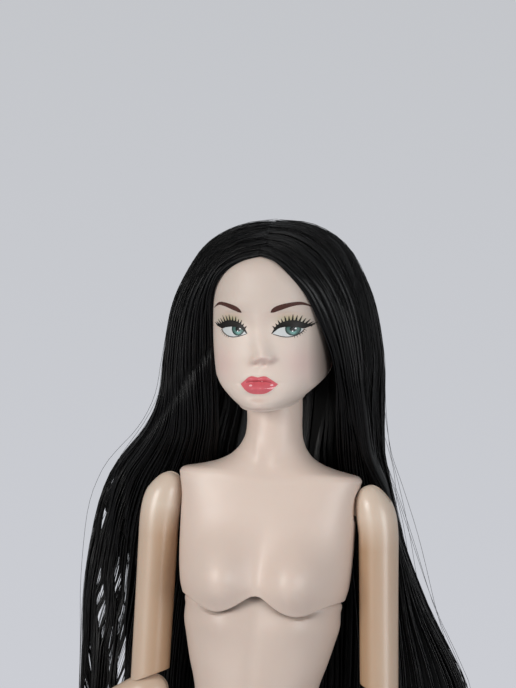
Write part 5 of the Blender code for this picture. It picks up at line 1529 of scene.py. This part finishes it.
def build_world():
    """A pale backdrop for the camera and a softer, dimmer light for the doll."""
    world = bpy.data.worlds.new("studio")
    bpy.context.scene.world = world
    world.use_nodes = True
    world.node_tree.nodes.clear()
    output = add_node(world, "ShaderNodeOutputWorld")
    sky = add_node(world, "ShaderNodeBackground", {"Color": (*SKY_COLOUR, 1.0), "Strength": SKY_STRENGTH})
    wall = add_node(world, "ShaderNodeBackground", {"Strength": 1.0})
    split = add_node(world, "ShaderNodeSeparateXYZ")
    link(world, add_node(world, "ShaderNodeTexCoord").outputs["Generated"], split.inputs["Vector"])
    fade = map_range(world, split.outputs["Z"], -0.12, 0.05)
    link(world, mixed_colour(world, fade, BACKDROP_LOW, BACKDROP_HIGH), wall.inputs["Color"])
    choose = add_node(world, "ShaderNodeMixShader")
    link(world, add_node(world, "ShaderNodeLightPath").outputs["Is Camera Ray"], choose.inputs["Fac"])
    link(world, sky.outputs["Background"], choose.inputs[1])
    link(world, wall.outputs["Background"], choose.inputs[2])
    link(world, choose.outputs["Shader"], output.inputs["Surface"])


def build_floor():
    """A round pale floor under the feet that fades into the background."""
    mesh_bm = bmesh.new()
    bmesh.ops.create_circle(mesh_bm, cap_ends=True, segments=96, radius=FLOOR_RADIUS)
    level = min(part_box(f"foot_{name}")[0].z for _, name in SIDES)
    bmesh.ops.translate(mesh_bm, verts=mesh_bm.verts, vec=(0.0, 0.0, level - FLOOR_GAP))
    material = new_material("pale_floor", FLOOR_COLOUR, 0.8)
    places = add_node(material, "ShaderNodeTexCoord").outputs["Object"]
    flat = vector_math(material, "MULTIPLY", places, (1.0, 1.0, 0.0)).outputs["Vector"]
    far = vector_math(material, "LENGTH", flat).outputs["Value"]
    fade = map_range(material, far, *FLOOR_FADE, 1.0, 0.0, interpolation_type="SMOOTHSTEP")
    link(material, fade, shader_of(material).inputs["Alpha"])
    to_object(to_mesh(mesh_bm, "floor"), "floor", material)


def build_lamps(settings):
    """Soft area lamps, and plain colours in the picture."""
    for name, place, size, power, colour in LAMPS:
        light = bpy.data.lights.new(name, "AREA")
        light.size = size
        light.energy = power * settings.light
        light.color = colour
        lamp = bpy.data.objects.new(name, light)
        bpy.context.scene.collection.objects.link(lamp)
        lamp.location = place
        aim = Vector(LAMP_AIM) - Vector(place)
        lamp.rotation_euler = aim.to_track_quat("-Z", "Y").to_euler()
    bpy.context.scene.view_settings.view_transform = "Standard"


def build_camera(settings):
    """A camera in front of the chest, at the picture's own roll."""
    azimuth = math.radians(settings.azimuth)
    elevation = math.radians(settings.elevation)
    level = Vector((math.sin(azimuth), -math.cos(azimuth), 0.0))
    away = level * math.cos(elevation) + Vector((0.0, 0.0, math.sin(elevation)))
    camera = bpy.data.cameras.new("camera")
    camera.lens = camera.sensor_width * settings.distance / settings.field
    camera.clip_start = 0.01
    view = bpy.data.objects.new("camera", camera)
    bpy.context.scene.collection.objects.link(view)
    view.location = Vector(settings.target) + away * settings.distance
    look = (-away).to_track_quat("-Z", "Y").to_matrix().to_4x4()
    view.rotation_euler = (look @ turned(settings.roll, "Z")).to_euler()
    bpy.context.scene.camera = view


class DOLL_OT_bust(bpy.types.Operator):
    """Build the bust shell with its rim, collar and neck"""

    bl_idname = "doll.bust"
    bl_label = "Bust shell"

    def execute(self, context):
        settings = context.scene.doll_skin
        colour = tuple(settings.torso_colour)
        material = plastic_material("torso_shell", colour, settings.torso_roughness, 0.06)
        mesh = to_mesh(grid(168, 190, bust_place), "bust_shell")
        mesh.transform(BODY_FRAME)
        mesh.set_sharp_from_angle(angle=math.radians(60))
        piece = to_object(mesh, "bust_shell", material)
        put(piece, "upper_torso", "torso_plastic", "chest_front", "chest_back")
        return {"FINISHED"}


class DOLL_OT_abdomen(bpy.types.Operator):
    """Build the abdomen and the pelvis, cut out for the legs"""

    bl_idname = "doll.abdomen"
    bl_label = "Abdomen"

    def execute(self, context):
        settings = context.scene.doll_skin
        # The abdomen's colour is darkened as painted shade from the bust
        colour = shade_of(tuple(settings.torso_colour), ABDOMEN_PAINTED_SHADE)
        material = plastic_material("abdomen_shaded_shell", colour, settings.torso_roughness, 0.06)
        cutters = []
        for side, _ in SIDES:
            cutters.append(ball(HIP_SOCKET_RADIUS, (side * HIP_X, 0.0, HIP_HEIGHT)))
            cutters.append(leg_cutter(side))
        cutters.append(rod(HIP_AXLE_RADIUS, 60.0, "X", (0.0, 0.0, HIP_HEIGHT)))
        mesh = carve(grid(120, 170, abdomen_place, closed=True), cutters, BODY_FRAME, "abdomen")
        piece = to_object(mesh, "abdomen", material)
        put(piece, "lower_torso", "torso_plastic", "abdomen_front", "abdomen_back")
        return {"FINISHED"}


def leg_cutter(side):
    """A block that cuts the pelvis free for one thigh, higher at the front."""
    near, far = sorted((side * CROTCH_HALF_WIDTH, side * 40.0))
    cutter = block((near, -30.0, 130.0), (far, 30.0, LEG_CUT_TOP_BACK))
    cut_plane(cutter, (0.0, LEG_CUT_BACK, 0.0), (0.0, 1.0, 0.0))
    cutter.normal_update()
    tops = [face for face in cutter.faces if face.normal.z > 0.7]
    front = [face for face in tops if face.calc_center_median().y < LEG_CUT_BACK * MM]
    made = bmesh.ops.extrude_discrete_faces(cutter, faces=front)
    for vert in made["faces"][0].verts:
        vert.co.z = LEG_CUT_TOP_FRONT * MM
    return cutter


class DOLL_OT_head(bpy.types.Operator):
    """Build the vinyl head with its modelled face, sprayed make-up and painted shade"""

    bl_idname = "doll.head"
    bl_label = "Head"

    def execute(self, context):
        settings = context.scene.doll_skin
        mesh = to_mesh(grid(300, 230, head_place), "head_skin")
        spots = np.array([vert.co for vert in mesh.vertices]) / MM
        store_masks(mesh, "make_up_and_shade", make_up_and_shade_masks(spots))
        mesh.transform(HEAD_FRAME)
        put(to_object(mesh, "head_skin", face_material(settings)), "head", "face_vinyl", "head")
        return {"FINISHED"}


def make_up_and_shade_masks(spots):
    """Blush, eye powder, painted shade in soft hollows, and the dark hair roots with the painted shadow of
    the hair, as four masks.
    """
    across, depth, height = spots.T
    nose = across - nose_lean(height)
    blush = soft_bumps(BLUSH, across, height) + soft_bumps(NOSE_BLUSH, nose, height)
    hollow_shade = soft_bumps(SHADE_HOLLOWS, across, height) + soft_bumps(NOSE_SHADE_HOLLOWS, nose, height)
    strength, level, outward_place, above, below, outside, inside = EYE_POWDER
    outer = np.abs(across) - EYE_X["right"] - outward_place
    powder = strength * uneven_bell(height - level, above, below) * uneven_bell(outer, outside, inside)
    front = (depth < 0.0).astype(float)
    # The fourth mask: the dark scalp under the hair, and the painted shadow of the hair and painted shade on
    # the forehead and chin
    roots = np.maximum(ramp(height, 294.0, 295.0), front * hair_shadow(across, height))
    roots = np.maximum(roots, ramp(depth, -3.0, -0.5) * ramp(height, 268.0, 272.0))
    masks = np.stack((blush * front, powder * front, hollow_shade * front, roots), axis=-1)
    return np.clip(masks, 0.0, 1.0)


def hair_shadow(across, height):
    """Painted shadow of the hair on the face beside it, and painted shade over the face's upper and lower
    end.
    """
    shadow = 0.15 * ramp(height, 275.0, 284.0) + 0.09 * ramp(height, 264.0, 260.5)
    for side, strand, amount, reach in HAIR_SHADOWS:
        edge = polyline([(side * row[0], row[2]) for row in strand[:9]], np.linspace(0.0, 1.0, 60))
        gaps = np.hypot(across[:, None] - edge[:, 0], height[:, None] - edge[:, 1])
        near = amount * np.exp(-np.min(gaps, axis=1) / reach) * ramp(side * across, 0.0, 4.0)
        shadow = np.maximum(shadow, near)
    # Painted shadow of the hair over the side of the left cheek
    cheek = ramp(across, 9.4, 12.6) ** 1.2 * ramp(height, 262.5, 265.5) * ramp(height, 287.0, 281.0)
    return np.maximum(shadow, 0.85 * cheek)


class DOLL_OT_face_paint(bpy.types.Operator):
    """Lay the printed eyes, lashes, brows and lips on the face"""

    bl_idname = "doll.face_paint"
    bl_label = "Face paint"

    def execute(self, context):
        settings = context.scene.doll_face
        lash_paint = paint_material("lash_paint", tuple(settings.lash_colour), 0.45, 0.2)
        paint_eyes(tuple(settings.iris_colour))
        face_piece("eye_liners", both_sides(eye_liners), lash_paint)
        face_piece("lashes", both_sides(lashes), lash_paint)
        brow_paint = paint_material("brow_paint", tuple(settings.brow_colour), 0.5, 0.25)
        face_piece("brows", both_sides(brow), brow_paint)
        paint_lips(tuple(settings.lip_colour))
        return {"FINISHED"}


def both_sides(build):
    """Painted shapes of the right eye and then of the left."""
    return [part for side, name in SIDES for part in build(side, name)]


def paint_eyes(iris_colour):
    """Whites, irises, pupils and glints of both eyes."""
    white = paint_material("eye_white", EYE_WHITE, 0.3, 0.02)
    glint = paint_material("glint_paint", EYE_GLINT, 0.25, 0.01)
    pupil = paint_material("pupil_paint", PUPIL_COLOUR, 0.25, 0.1)
    face_piece("eye_whites", both_sides(eye_white), white)
    face_piece("irises", both_sides(iris_disc), iris_material(iris_colour))
    face_piece("pupils", both_sides(pupil_disc), pupil)
    face_piece("eye_glints", both_sides(eye_glints), glint)


def paint_lips(colour):
    """The lips, the line between them and their glints."""
    lips = paint_material("lip_paint", colour, 0.30, 0.06, 0.7)
    face_piece("lips", [face_patch(LIP_BOTTOM, LIP_TOP, 96, 60, PAINT_STEPS["lips"])], lips)
    line = paint_material("mouth_paint", shade_of(colour, MOUTH_SHADE), 0.4, 0.05)
    middle = mirrored(MOUTH_LINE, MOUTH_PAINT_REACH)
    top = tuple((x, z + MOUTH_PAINT_RISE) for x, z in middle)
    bottom = tuple((x, z - MOUTH_PAINT_DROP) for x, z in middle)
    face_piece("mouth_line", [face_patch(bottom, top, 60, 3, PAINT_STEPS["mouth"])], line)
    gloss = paint_material("lip_glint_paint", LIP_GLINT_COLOUR, 0.3, 0.02)
    face_piece("lip_glints", [lip_glint(*row) for row in LIP_GLINTS], gloss)


def lip_glint(across, height, size):
    upper = tuple((x * size, z * size) for x, z in HALF_OVAL)
    lower = tuple((x, -z) for x, z in upper)
    return face_patch(lower, upper, 16, 6, PAINT_STEPS["lip_glint"], 1, (across, height))


def eye_white(side, name):
    eye = (EYE_X[name], EYE_HEIGHT)
    return [face_patch(EYE_LOWER, EYE_UPPER, 40, 16, PAINT_STEPS["white"], side, eye)]


def pupil_disc(side, name):
    centre = (side * IRIS_X[name], EYE_HEIGHT - PUPIL_DROP)
    return [face_disc(centre, PUPIL_RADIUS, PAINT_STEPS["pupil"], 32)]


def eye_glints(side, name):
    middle = side * IRIS_X[name]
    return [
        face_disc((middle + across, EYE_HEIGHT + up), radius, PAINT_STEPS["glint"], segments)
        for across, up, radius, segments in EYE_GLINTS]


def eye_liners(side, name):
    """The broad line over an eye and the thin one under it."""
    eye = (EYE_X[name], EYE_HEIGHT)
    return [
        face_patch(LINER_LOWER, LINER_UPPER, 60, 8, PAINT_STEPS["liner"], side, eye),
        face_patch(LOWER_LINE_LOW, LOWER_LINE_HIGH, 40, 3, PAINT_STEPS["lower_line"], side, eye)]


def brow(side, name):
    place = (EYE_X[name] + BROW_SHIFT[name], EYE_HEIGHT)
    lower = tuple((x * BROW_STRETCH[name], z) for x, z in BROW_LOWER)
    upper = tuple((x * BROW_STRETCH[name], z) for x, z in BROW_UPPER)
    return [face_patch(lower, upper, 48, 10, PAINT_STEPS["brow"], side, place)]


def iris_disc(side, name):
    """The iris, cut off along the edges of both lids."""
    offset = PAINT_STEPS["iris"]
    mesh_bm = face_disc((side * IRIS_X[name], EYE_HEIGHT), IRIS_RADIUS, offset)
    upper_lid = polyline(EYE_UPPER, np.linspace(0.0, 1.0, 60)).T
    lower_lid = polyline(EYE_LOWER, np.linspace(0.0, 1.0, 60)).T
    for vert in mesh_bm.verts:
        spot = vert.co / MM
        outer = spot.x * side - EYE_X[name]
        top = EYE_HEIGHT + float(np.interp(outer, *upper_lid)) + 0.25
        low = EYE_HEIGHT + float(np.interp(outer, *lower_lid)) - 0.02
        height = min(max(spot.z, low), top)
        vert.co = Vector(face_point(np.array((spot.x,)), np.array((height,)), offset)[0] * MM)
    return [mesh_bm]


def lashes(side, name):
    """Strokes that fan out over an eye, in turns longer and shorter, and small
    ones at its lower outer corner."""
    strokes = []
    edge = polyline(LINER_UPPER, np.linspace(0.10, 0.86, UPPER_LASHES))
    for index, root in enumerate(edge):
        share = index / (UPPER_LASHES - 1)
        angle = math.radians(128.0 - 88.0 * share)
        length = np.interp(share, (0.0, 0.3, 0.6, 1.0), (0.85, 1.35, 1.75, 1.45)) - 0.22 * (index % 2)
        base = (root[0] + EYE_X[name], root[1] + EYE_HEIGHT - 0.35)
        bend = 0.30 * (share - 0.35)
        strokes.append(lash(base, angle, length, 0.52, bend, PAINT_STEPS["upper_lash"], side))
    edge = polyline(LOWER_LINE_LOW, np.linspace(0.62, 0.98, LOWER_LASHES))
    for index, root in enumerate(edge):
        angle = math.radians(-70.0 + 40.0 * index / (LOWER_LASHES - 1))
        base = (root[0] + EYE_X[name], root[1] + EYE_HEIGHT + 0.06)
        strokes.append(lash(base, angle, 0.55, 0.14, 0.08, PAINT_STEPS["lower_lash"], side))
    return strokes


class DOLL_OT_arms(bpy.types.Operator):
    """Build the upper arms and forearms with their joint slots"""

    bl_idname = "doll.arms"
    bl_label = "Arms"

    def execute(self, context):
        limb_material(context.scene.doll_skin)
        for side, name in SIDES:
            frames = joint_frames(side, name)
            build_upper_arm(side, name, frames)
            build_forearm(name, frames)
        return {"FINISHED"}


def arm_place(side):
    """Points of an upper arm: its cap, its shaft and a slanted end."""
    rows = in_steps(UPPER_ARM_ROWS)
    end = UPPER_ARM_ROWS[-1][0]

    def place(around, along):
        height, width, thick, shift = read_curve(rows, along).T
        angle = 2.0 * math.pi * around
        across = width * np.sin(angle) + side * shift
        near_end = ramp(height, end + ARM_END_LENGTH, end) ** 2
        slanted = height - ARM_END_SLOPE * side * across * near_end
        return np.stack((across, thick * np.cos(angle), slanted), axis=-1)

    return place


def put_limb(mesh, skin, body, name, replaced=True):
    """Fasten the skin of a limb piece to its body."""
    piece = to_object(mesh, f"{skin}_{name}", bpy.data.materials["limb_shell"])
    nodes = (f"{body}_{name}",) if replaced else ()
    put(piece, f"{body}_{name}", "limb_plastic", *nodes)


def inner_slot(side, joint):
    """A slot that is open at a limb's top and on its inner side."""
    half, past = SLOTS[joint]
    near, far = sorted((-side * CLEAR, side * past))
    return block((near, -half, -past), (far, half, CLEAR))


def build_upper_arm(side, name, frames):
    """The upper arm with its shoulder slot, elbow cup and peg bore."""
    arm = grid(56, 120, arm_place(side), closed=True)
    cup = ball(ELBOW_CUP_RADIUS)
    bore = rod(BORES["elbow_peg"], ELBOW_PEG_LENGTH, "Z", (0.0, 0.0, ELBOW_PEG_LENGTH / 2))
    to_arm = frames["arm"].inverted()
    for tool in (cup, bore):
        bmesh.ops.transform(tool, matrix=to_arm @ frames["elbow"], verts=tool.verts)
    mesh = carve(arm, [inner_slot(side, "shoulder"), cup, bore], frames["arm"], "upper_arm_" + name)
    spots = np.array([to_arm @ vert.co for vert in mesh.vertices]) / MM
    # Masks of painted shade on the shaft's inner side and of painted light on the cap
    inner = ramp(side * spots[:, 0], 2.2, -2.2) ** 1.2
    shaft = ramp(spots[:, 2], -2.0, -9.0)
    none = np.zeros_like(shaft)
    store_masks(mesh, "arm_light_and_shade", np.stack((inner * shaft, 1.0 - shaft, none, none + 1.0), axis=-1))
    put_limb(mesh, "arm_skin", "upper_arm", name)


def build_forearm(name, frames):
    """The forearm, whose elbow pin lies along its own Y axis."""
    place = limb_place(FOREARM_ROWS, FOREARM_TOP_RADIUS)

    def forearm_place(around, along):
        across, depth, height = place(around, along).T
        return np.stack((-depth, across, height), axis=-1)

    forearm = grid(56, 96, forearm_place, closed=True)
    half, past = SLOTS["elbow"]
    wrist = (0.0, 0.0, -FOREARM_ROWS[-1][0] + WRIST_PEG_DEPTH - WRIST_CUT / 2)
    cutters = [
        block((-CLEAR, -half, -past), (past, half, CLEAR)),
        rod(BORES["elbow"], 2 * CLEAR, "Y"),
        rod(BORES["wrist"], WRIST_CUT, "Z", wrist)]
    mesh = carve(forearm, cutters, frames["forearm"], "forearm_" + name)
    put_limb(mesh, "forearm_skin", "forearm", name)


class DOLL_OT_hands(bpy.types.Operator):
    """Build the rounded hands with their fingers drawn out of the palm"""

    bl_idname = "doll.hands"
    bl_label = "Hands"

    def execute(self, context):
        for side, name in SIDES:
            frames = joint_frames(side, name)
            mesh = to_mesh(hand_mesh(), "hand_cage_" + name)
            cage = to_object(mesh, "hand_cage_" + name)
            rounding = cage.modifiers.new("rounding", "SUBSURF")
            rounding.levels = 3
            rounding.render_levels = 3
            graph = bpy.context.evaluated_depsgraph_get()
            smooth = bpy.data.meshes.new_from_object(cage.evaluated_get(graph))
            bpy.data.objects.remove(cage, do_unlink=True)
            smooth.transform(frames["hand"])
            smooth.shade_smooth()
            put_limb(smooth, "hand_skin", "hand", name)
        return {"FINISHED"}


class DOLL_OT_legs(bpy.types.Operator):
    """Build the thighs, shins and feet with their joint slots"""

    bl_idname = "doll.legs"
    bl_label = "Legs"

    def execute(self, context):
        for side, name in SIDES:
            frames = joint_frames(side, name)
            build_thigh(side, name, frames)
            build_shin(side, name, frames)
            build_foot(name, frames)
        return {"FINISHED"}


def build_thigh(side, name, frames):
    """The thigh with its hip slot and the fork and pin hole of its knee."""
    inset = -side * KNEE_INSET
    place = limb_place(THIGH_ROWS, THIGH_TOP_RADIUS, THIGH_END_RADIUS, shift_reach=inset)
    half, past = SLOTS["knee"]
    fork_low = (inset - half, -CLEAR, -THIGH_LENGTH - CLEAR)
    fork_high = (inset + half, CLEAR, -THIGH_LENGTH + past)
    cutters = [
        inner_slot(side, "hip"),
        rod(BORES["hip"], 2 * CLEAR, "Y"),
        block(fork_low, fork_high),
        rod(BORES["knee"], 2 * CLEAR, "X", (inset, 0.0, -THIGH_LENGTH))]
    mesh = carve(grid(64, 130, place, closed=True), cutters, frames["thigh"], "thigh_" + name)
    put_limb(mesh, "thigh_skin", "thigh", name)


def build_shin(side, name, frames):
    """The shin between its knee and ankle balls; the node's tongues still show."""
    place = limb_place(SHIN_ROWS, slopes=KNEE_SLOPE_ROWS, shift_reach=side * ANKLE_INSET)
    ankle = (side * ANKLE_INSET, 0.0, -SHIN_LENGTH)
    cutters = [ball(KNEE_SOCKET_RADIUS), ball(ANKLE_SOCKET_RADIUS, ankle, 32)]
    mesh = carve(grid(56, 110, place, closed=True), cutters, frames["shin"], "shin_" + name)
    put_limb(mesh, "shin_skin", "shin", name, replaced=False)


def build_foot(name, frames):
    """The foot, cut flat on the ground and slotted for the ankle's tongue."""
    half, past = SLOTS["ankle"]
    cutters = [
        block((-CLEAR, -2 * CLEAR, -2 * CLEAR), (CLEAR, 2 * CLEAR, -ANKLE_HEIGHT)),
        block((-half, -CLEAR, -past), (half, CLEAR, CLEAR)),
        rod(BORES["ankle"], 2 * CLEAR, "X")]
    mesh = carve(foot_mesh(), cutters, frames["foot"], "foot_" + name)
    put_limb(mesh, "foot_skin", "foot", name)


class DOLL_OT_hardware(bpy.types.Operator):
    """Give the joint hardware its moulded plastic finish"""

    bl_idname = "doll.hardware"
    bl_label = "Joint hardware"

    def execute(self, context):
        settings = context.scene.doll_skin
        material = plastic_material("joint_shell", warmer(tuple(settings.limb_colour), 0.10), 0.42, 0.1)
        # A shin's own tongues show in its joints
        limb = bpy.data.materials["limb_shell"]
        for name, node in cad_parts.items():
            if node.hide_render:
                continue
            finish = limb if name.startswith("shin_") else material
            if not node.material_slots:
                node.data.materials.append(finish)
            for place in node.material_slots:
                place.link = "OBJECT"
                place.material = finish
        return {"FINISHED"}


class DOLL_OT_hair(bpy.types.Operator):
    """Root the long hair: an inner mass, layers of locks and loose strands"""

    bl_idname = "doll.hair"
    bl_label = "Hair"

    def execute(self, context):
        settings = context.scene.doll_hair
        colour = tuple(settings.hair_colour)
        mass = hair_material("hair_mass", colour, 60.0, 2.2, 0.36)
        fibre = hair_material("hair_strand_fibre", colour, 26.0, 2.0, 0.28)
        random = np.random.default_rng(7)
        nodes = {
            "crown": ("hair_cap",), "nape": ("hair_nape",),
            "fall": ("hair_fall_right", "hair_fall_middle", "hair_fall_left")}
        carry_hair(split_hair(hair_mass(), "hair_mass", mass), nodes)
        lock_tube = tube_template(8, RINGS_ON_LOCK)
        strand_tube = tube_template(3, RINGS_ON_STRAND)
        for _, name in SIDES:
            locks = hair_locks(name, settings, random, lock_tube)
            carry_hair(split_hair(locks, "hair_locks_" + name, fibre))
            strands = hair_strands(name, settings, random, strand_tube)
            carry_hair(split_hair(strands, "hair_strands_" + name, fibre))
        flyaways = loose_strands(settings, random, strand_tube)
        carry_hair(split_hair(flyaways, "hair_flyaways", fibre))
        return {"FINISHED"}


def hair_mass():
    """The plain inner surface under the locks, on both sides, with a ragged hem."""
    whole = bmesh.new()
    for side, name in SIDES:
        tables = strand_tables(name)

        def place(around, along, tables=tables, side=side, name=name):
            ragged = 0.90 + 0.022 * np.sin(around * 61.0) + 0.016 * np.sin(around * 143.0 + 1.0)
            points = hair_points(tables, around, along * ragged)
            depth = np.interp(along, (0.0, 0.06, 0.2, 1.0), (0.5, 0.7, 1.4, 1.2))[:, None]
            points = points - hair_outs(points) * depth
            if name == "right":
                points[:, 0] = np.minimum(points[:, 0], np.interp(points[:, 2], *zip(*MASS_LIMIT)))
            points[:, 0] *= side
            return lean_point(points)

        mesh = to_mesh(grid(70, 150, place, wrapped=False), "mass", recalculate=False)
        whole.from_mesh(mesh)
        bpy.data.meshes.remove(mesh)
    return whole


def hair_locks(name, settings, random, tube):
    """Three layers of flat tapered locks."""
    width = settings.lock_width / MM / 2
    along = np.linspace(0.0, 1.0, RINGS_ON_LOCK)
    taper = np.interp(along, (0.0, 0.05, 0.2, 0.85, 0.94, 1.0), (0.35, 0.62, 1.0, 1.1, 0.8, 0.06))
    grow = np.interp(along, (0.0, 0.3, 0.7, 1.0), (0.9, 1.0, 1.25, 1.2))
    layers = []
    for depth in LOCK_LAYERS:
        depths = random.uniform(depth - 0.25, depth + 0.2, settings.locks)[:, None]
        path, out = lock_paths(name, RINGS_ON_LOCK, random, depths, 0.012)
        size = random.uniform(0.65, 1.15, settings.locks)[:, None] * taper
        layers.append((path, out, beside_gaps(name, path, width * size * grow), LOCK_THICKNESS * size))
    return lay_tubes(*(np.concatenate(values) for values in zip(*layers)), *tube)


def gap_distance(paths, gap):
    """Half width of a gap at each point and how far off it the point is seen."""
    top, low, across_top, across_low, half = gap
    share = (paths[..., 2] - low) / (top - low)
    inside = np.sin(np.clip(share, 0.0, 1.0) * math.pi) * half
    seen = np.abs(paths[..., 0]) - VIEW_SLANT * (paths[..., 1] - GAP_DEPTH)
    return inside, seen - (across_low + (across_top - across_low) * share)


def beside_gaps(name, paths, widths):
    """Narrow the locks beside each gap, so that none lies across it."""
    if name != "right":
        return widths
    for gap in HAIR_GAPS:
        inside, away = gap_distance(paths, gap)
        room = np.maximum(np.abs(away) - 0.95 * inside, 0.02)
        widths = np.where(inside > 0.0, np.minimum(widths, room), widths)
    return widths


def hair_strands(name, settings, random, tube):
    """Single strands over the locks, some of them standing a little off."""
    depths = random.uniform(-0.45, 0.25, settings.strands)[:, None]
    path, out = lock_paths(name, RINGS_ON_STRAND, random, depths, 0.02, (0.0, 0.15), (0.85, 1.0))
    along = np.linspace(0.0, 1.0, RINGS_ON_STRAND)
    taper = np.interp(along, (0.0, 0.05, 0.9, 1.0), (0.5, 1.0, 0.8, 0.2))
    width = settings.strand_width / MM / 2 * random.uniform(0.6, 1.2, settings.strands)[:, None] * taper
    return lay_tubes(path, out, width, width, *tube)


def loose_strands(settings, random, tube):
    """A few flyaways that stand off the outline on both sides."""
    along = np.linspace(0.0, 1.0, RINGS_ON_STRAND)
    strands = []
    for name, count in FLYAWAYS.items():
        path, out = lock_paths(name, RINGS_ON_STRAND, random, np.zeros((count, 1)), 0.0, (0.1, 0.3))
        stray = random.uniform(0.6, 5.0, count)[:, None] * np.sin(math.pi * along) ** 2
        strands.append((path + out * stray[..., None], out))
    paths, outs = (np.concatenate(values) for values in zip(*strands))
    width = np.full(paths.shape[:2], settings.strand_width / MM / 3)
    return lay_tubes(paths, outs, width, width, *tube)


class DOLL_PT_panel(bpy.types.Panel):
    """Lists the doll's settings and building steps"""

    bl_label = "Fashion Doll"
    bl_idname = "DOLL_PT_panel"
    bl_space_type = "VIEW_3D"
    bl_region_type = "UI"
    bl_category = "Doll"

    def draw(self, context):
        layout = self.layout
        for name in SETTINGS:
            group = getattr(context.scene, name)
            box = layout.box()
            for setting in group.bl_rna.properties.keys():
                if setting not in ("rna_type", "name"):
                    box.prop(group, setting)
        for operator in OPERATORS:
            layout.operator(operator.bl_idname)


SETTINGS = {
    "doll_skin": DollSkinSettings,
    "doll_face": DollFaceSettings,
    "doll_hair": DollHairSettings,
    "doll_stage": DollStageSettings,
}
OPERATORS = (
    DOLL_OT_stage,
    DOLL_OT_bust,
    DOLL_OT_abdomen,
    DOLL_OT_head,
    DOLL_OT_face_paint,
    DOLL_OT_arms,
    DOLL_OT_hands,
    DOLL_OT_legs,
    DOLL_OT_hair,
    DOLL_OT_hardware,
)


def register():
    for kind in (*SETTINGS.values(), *OPERATORS, DOLL_PT_panel):
        bpy.utils.register_class(kind)
    for name, kind in SETTINGS.items():
        setattr(bpy.types.Scene, name, bpy.props.PointerProperty(type=kind))


def unregister():
    for name in SETTINGS:
        delattr(bpy.types.Scene, name)
    for kind in reversed((*SETTINGS.values(), *OPERATORS, DOLL_PT_panel)):
        bpy.utils.unregister_class(kind)


def main():
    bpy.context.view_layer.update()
    register()
    for operator in OPERATORS:
        group, action = operator.bl_idname.split(".")
        getattr(getattr(bpy.ops, group), action)()


if __name__ == "__main__":
    main()
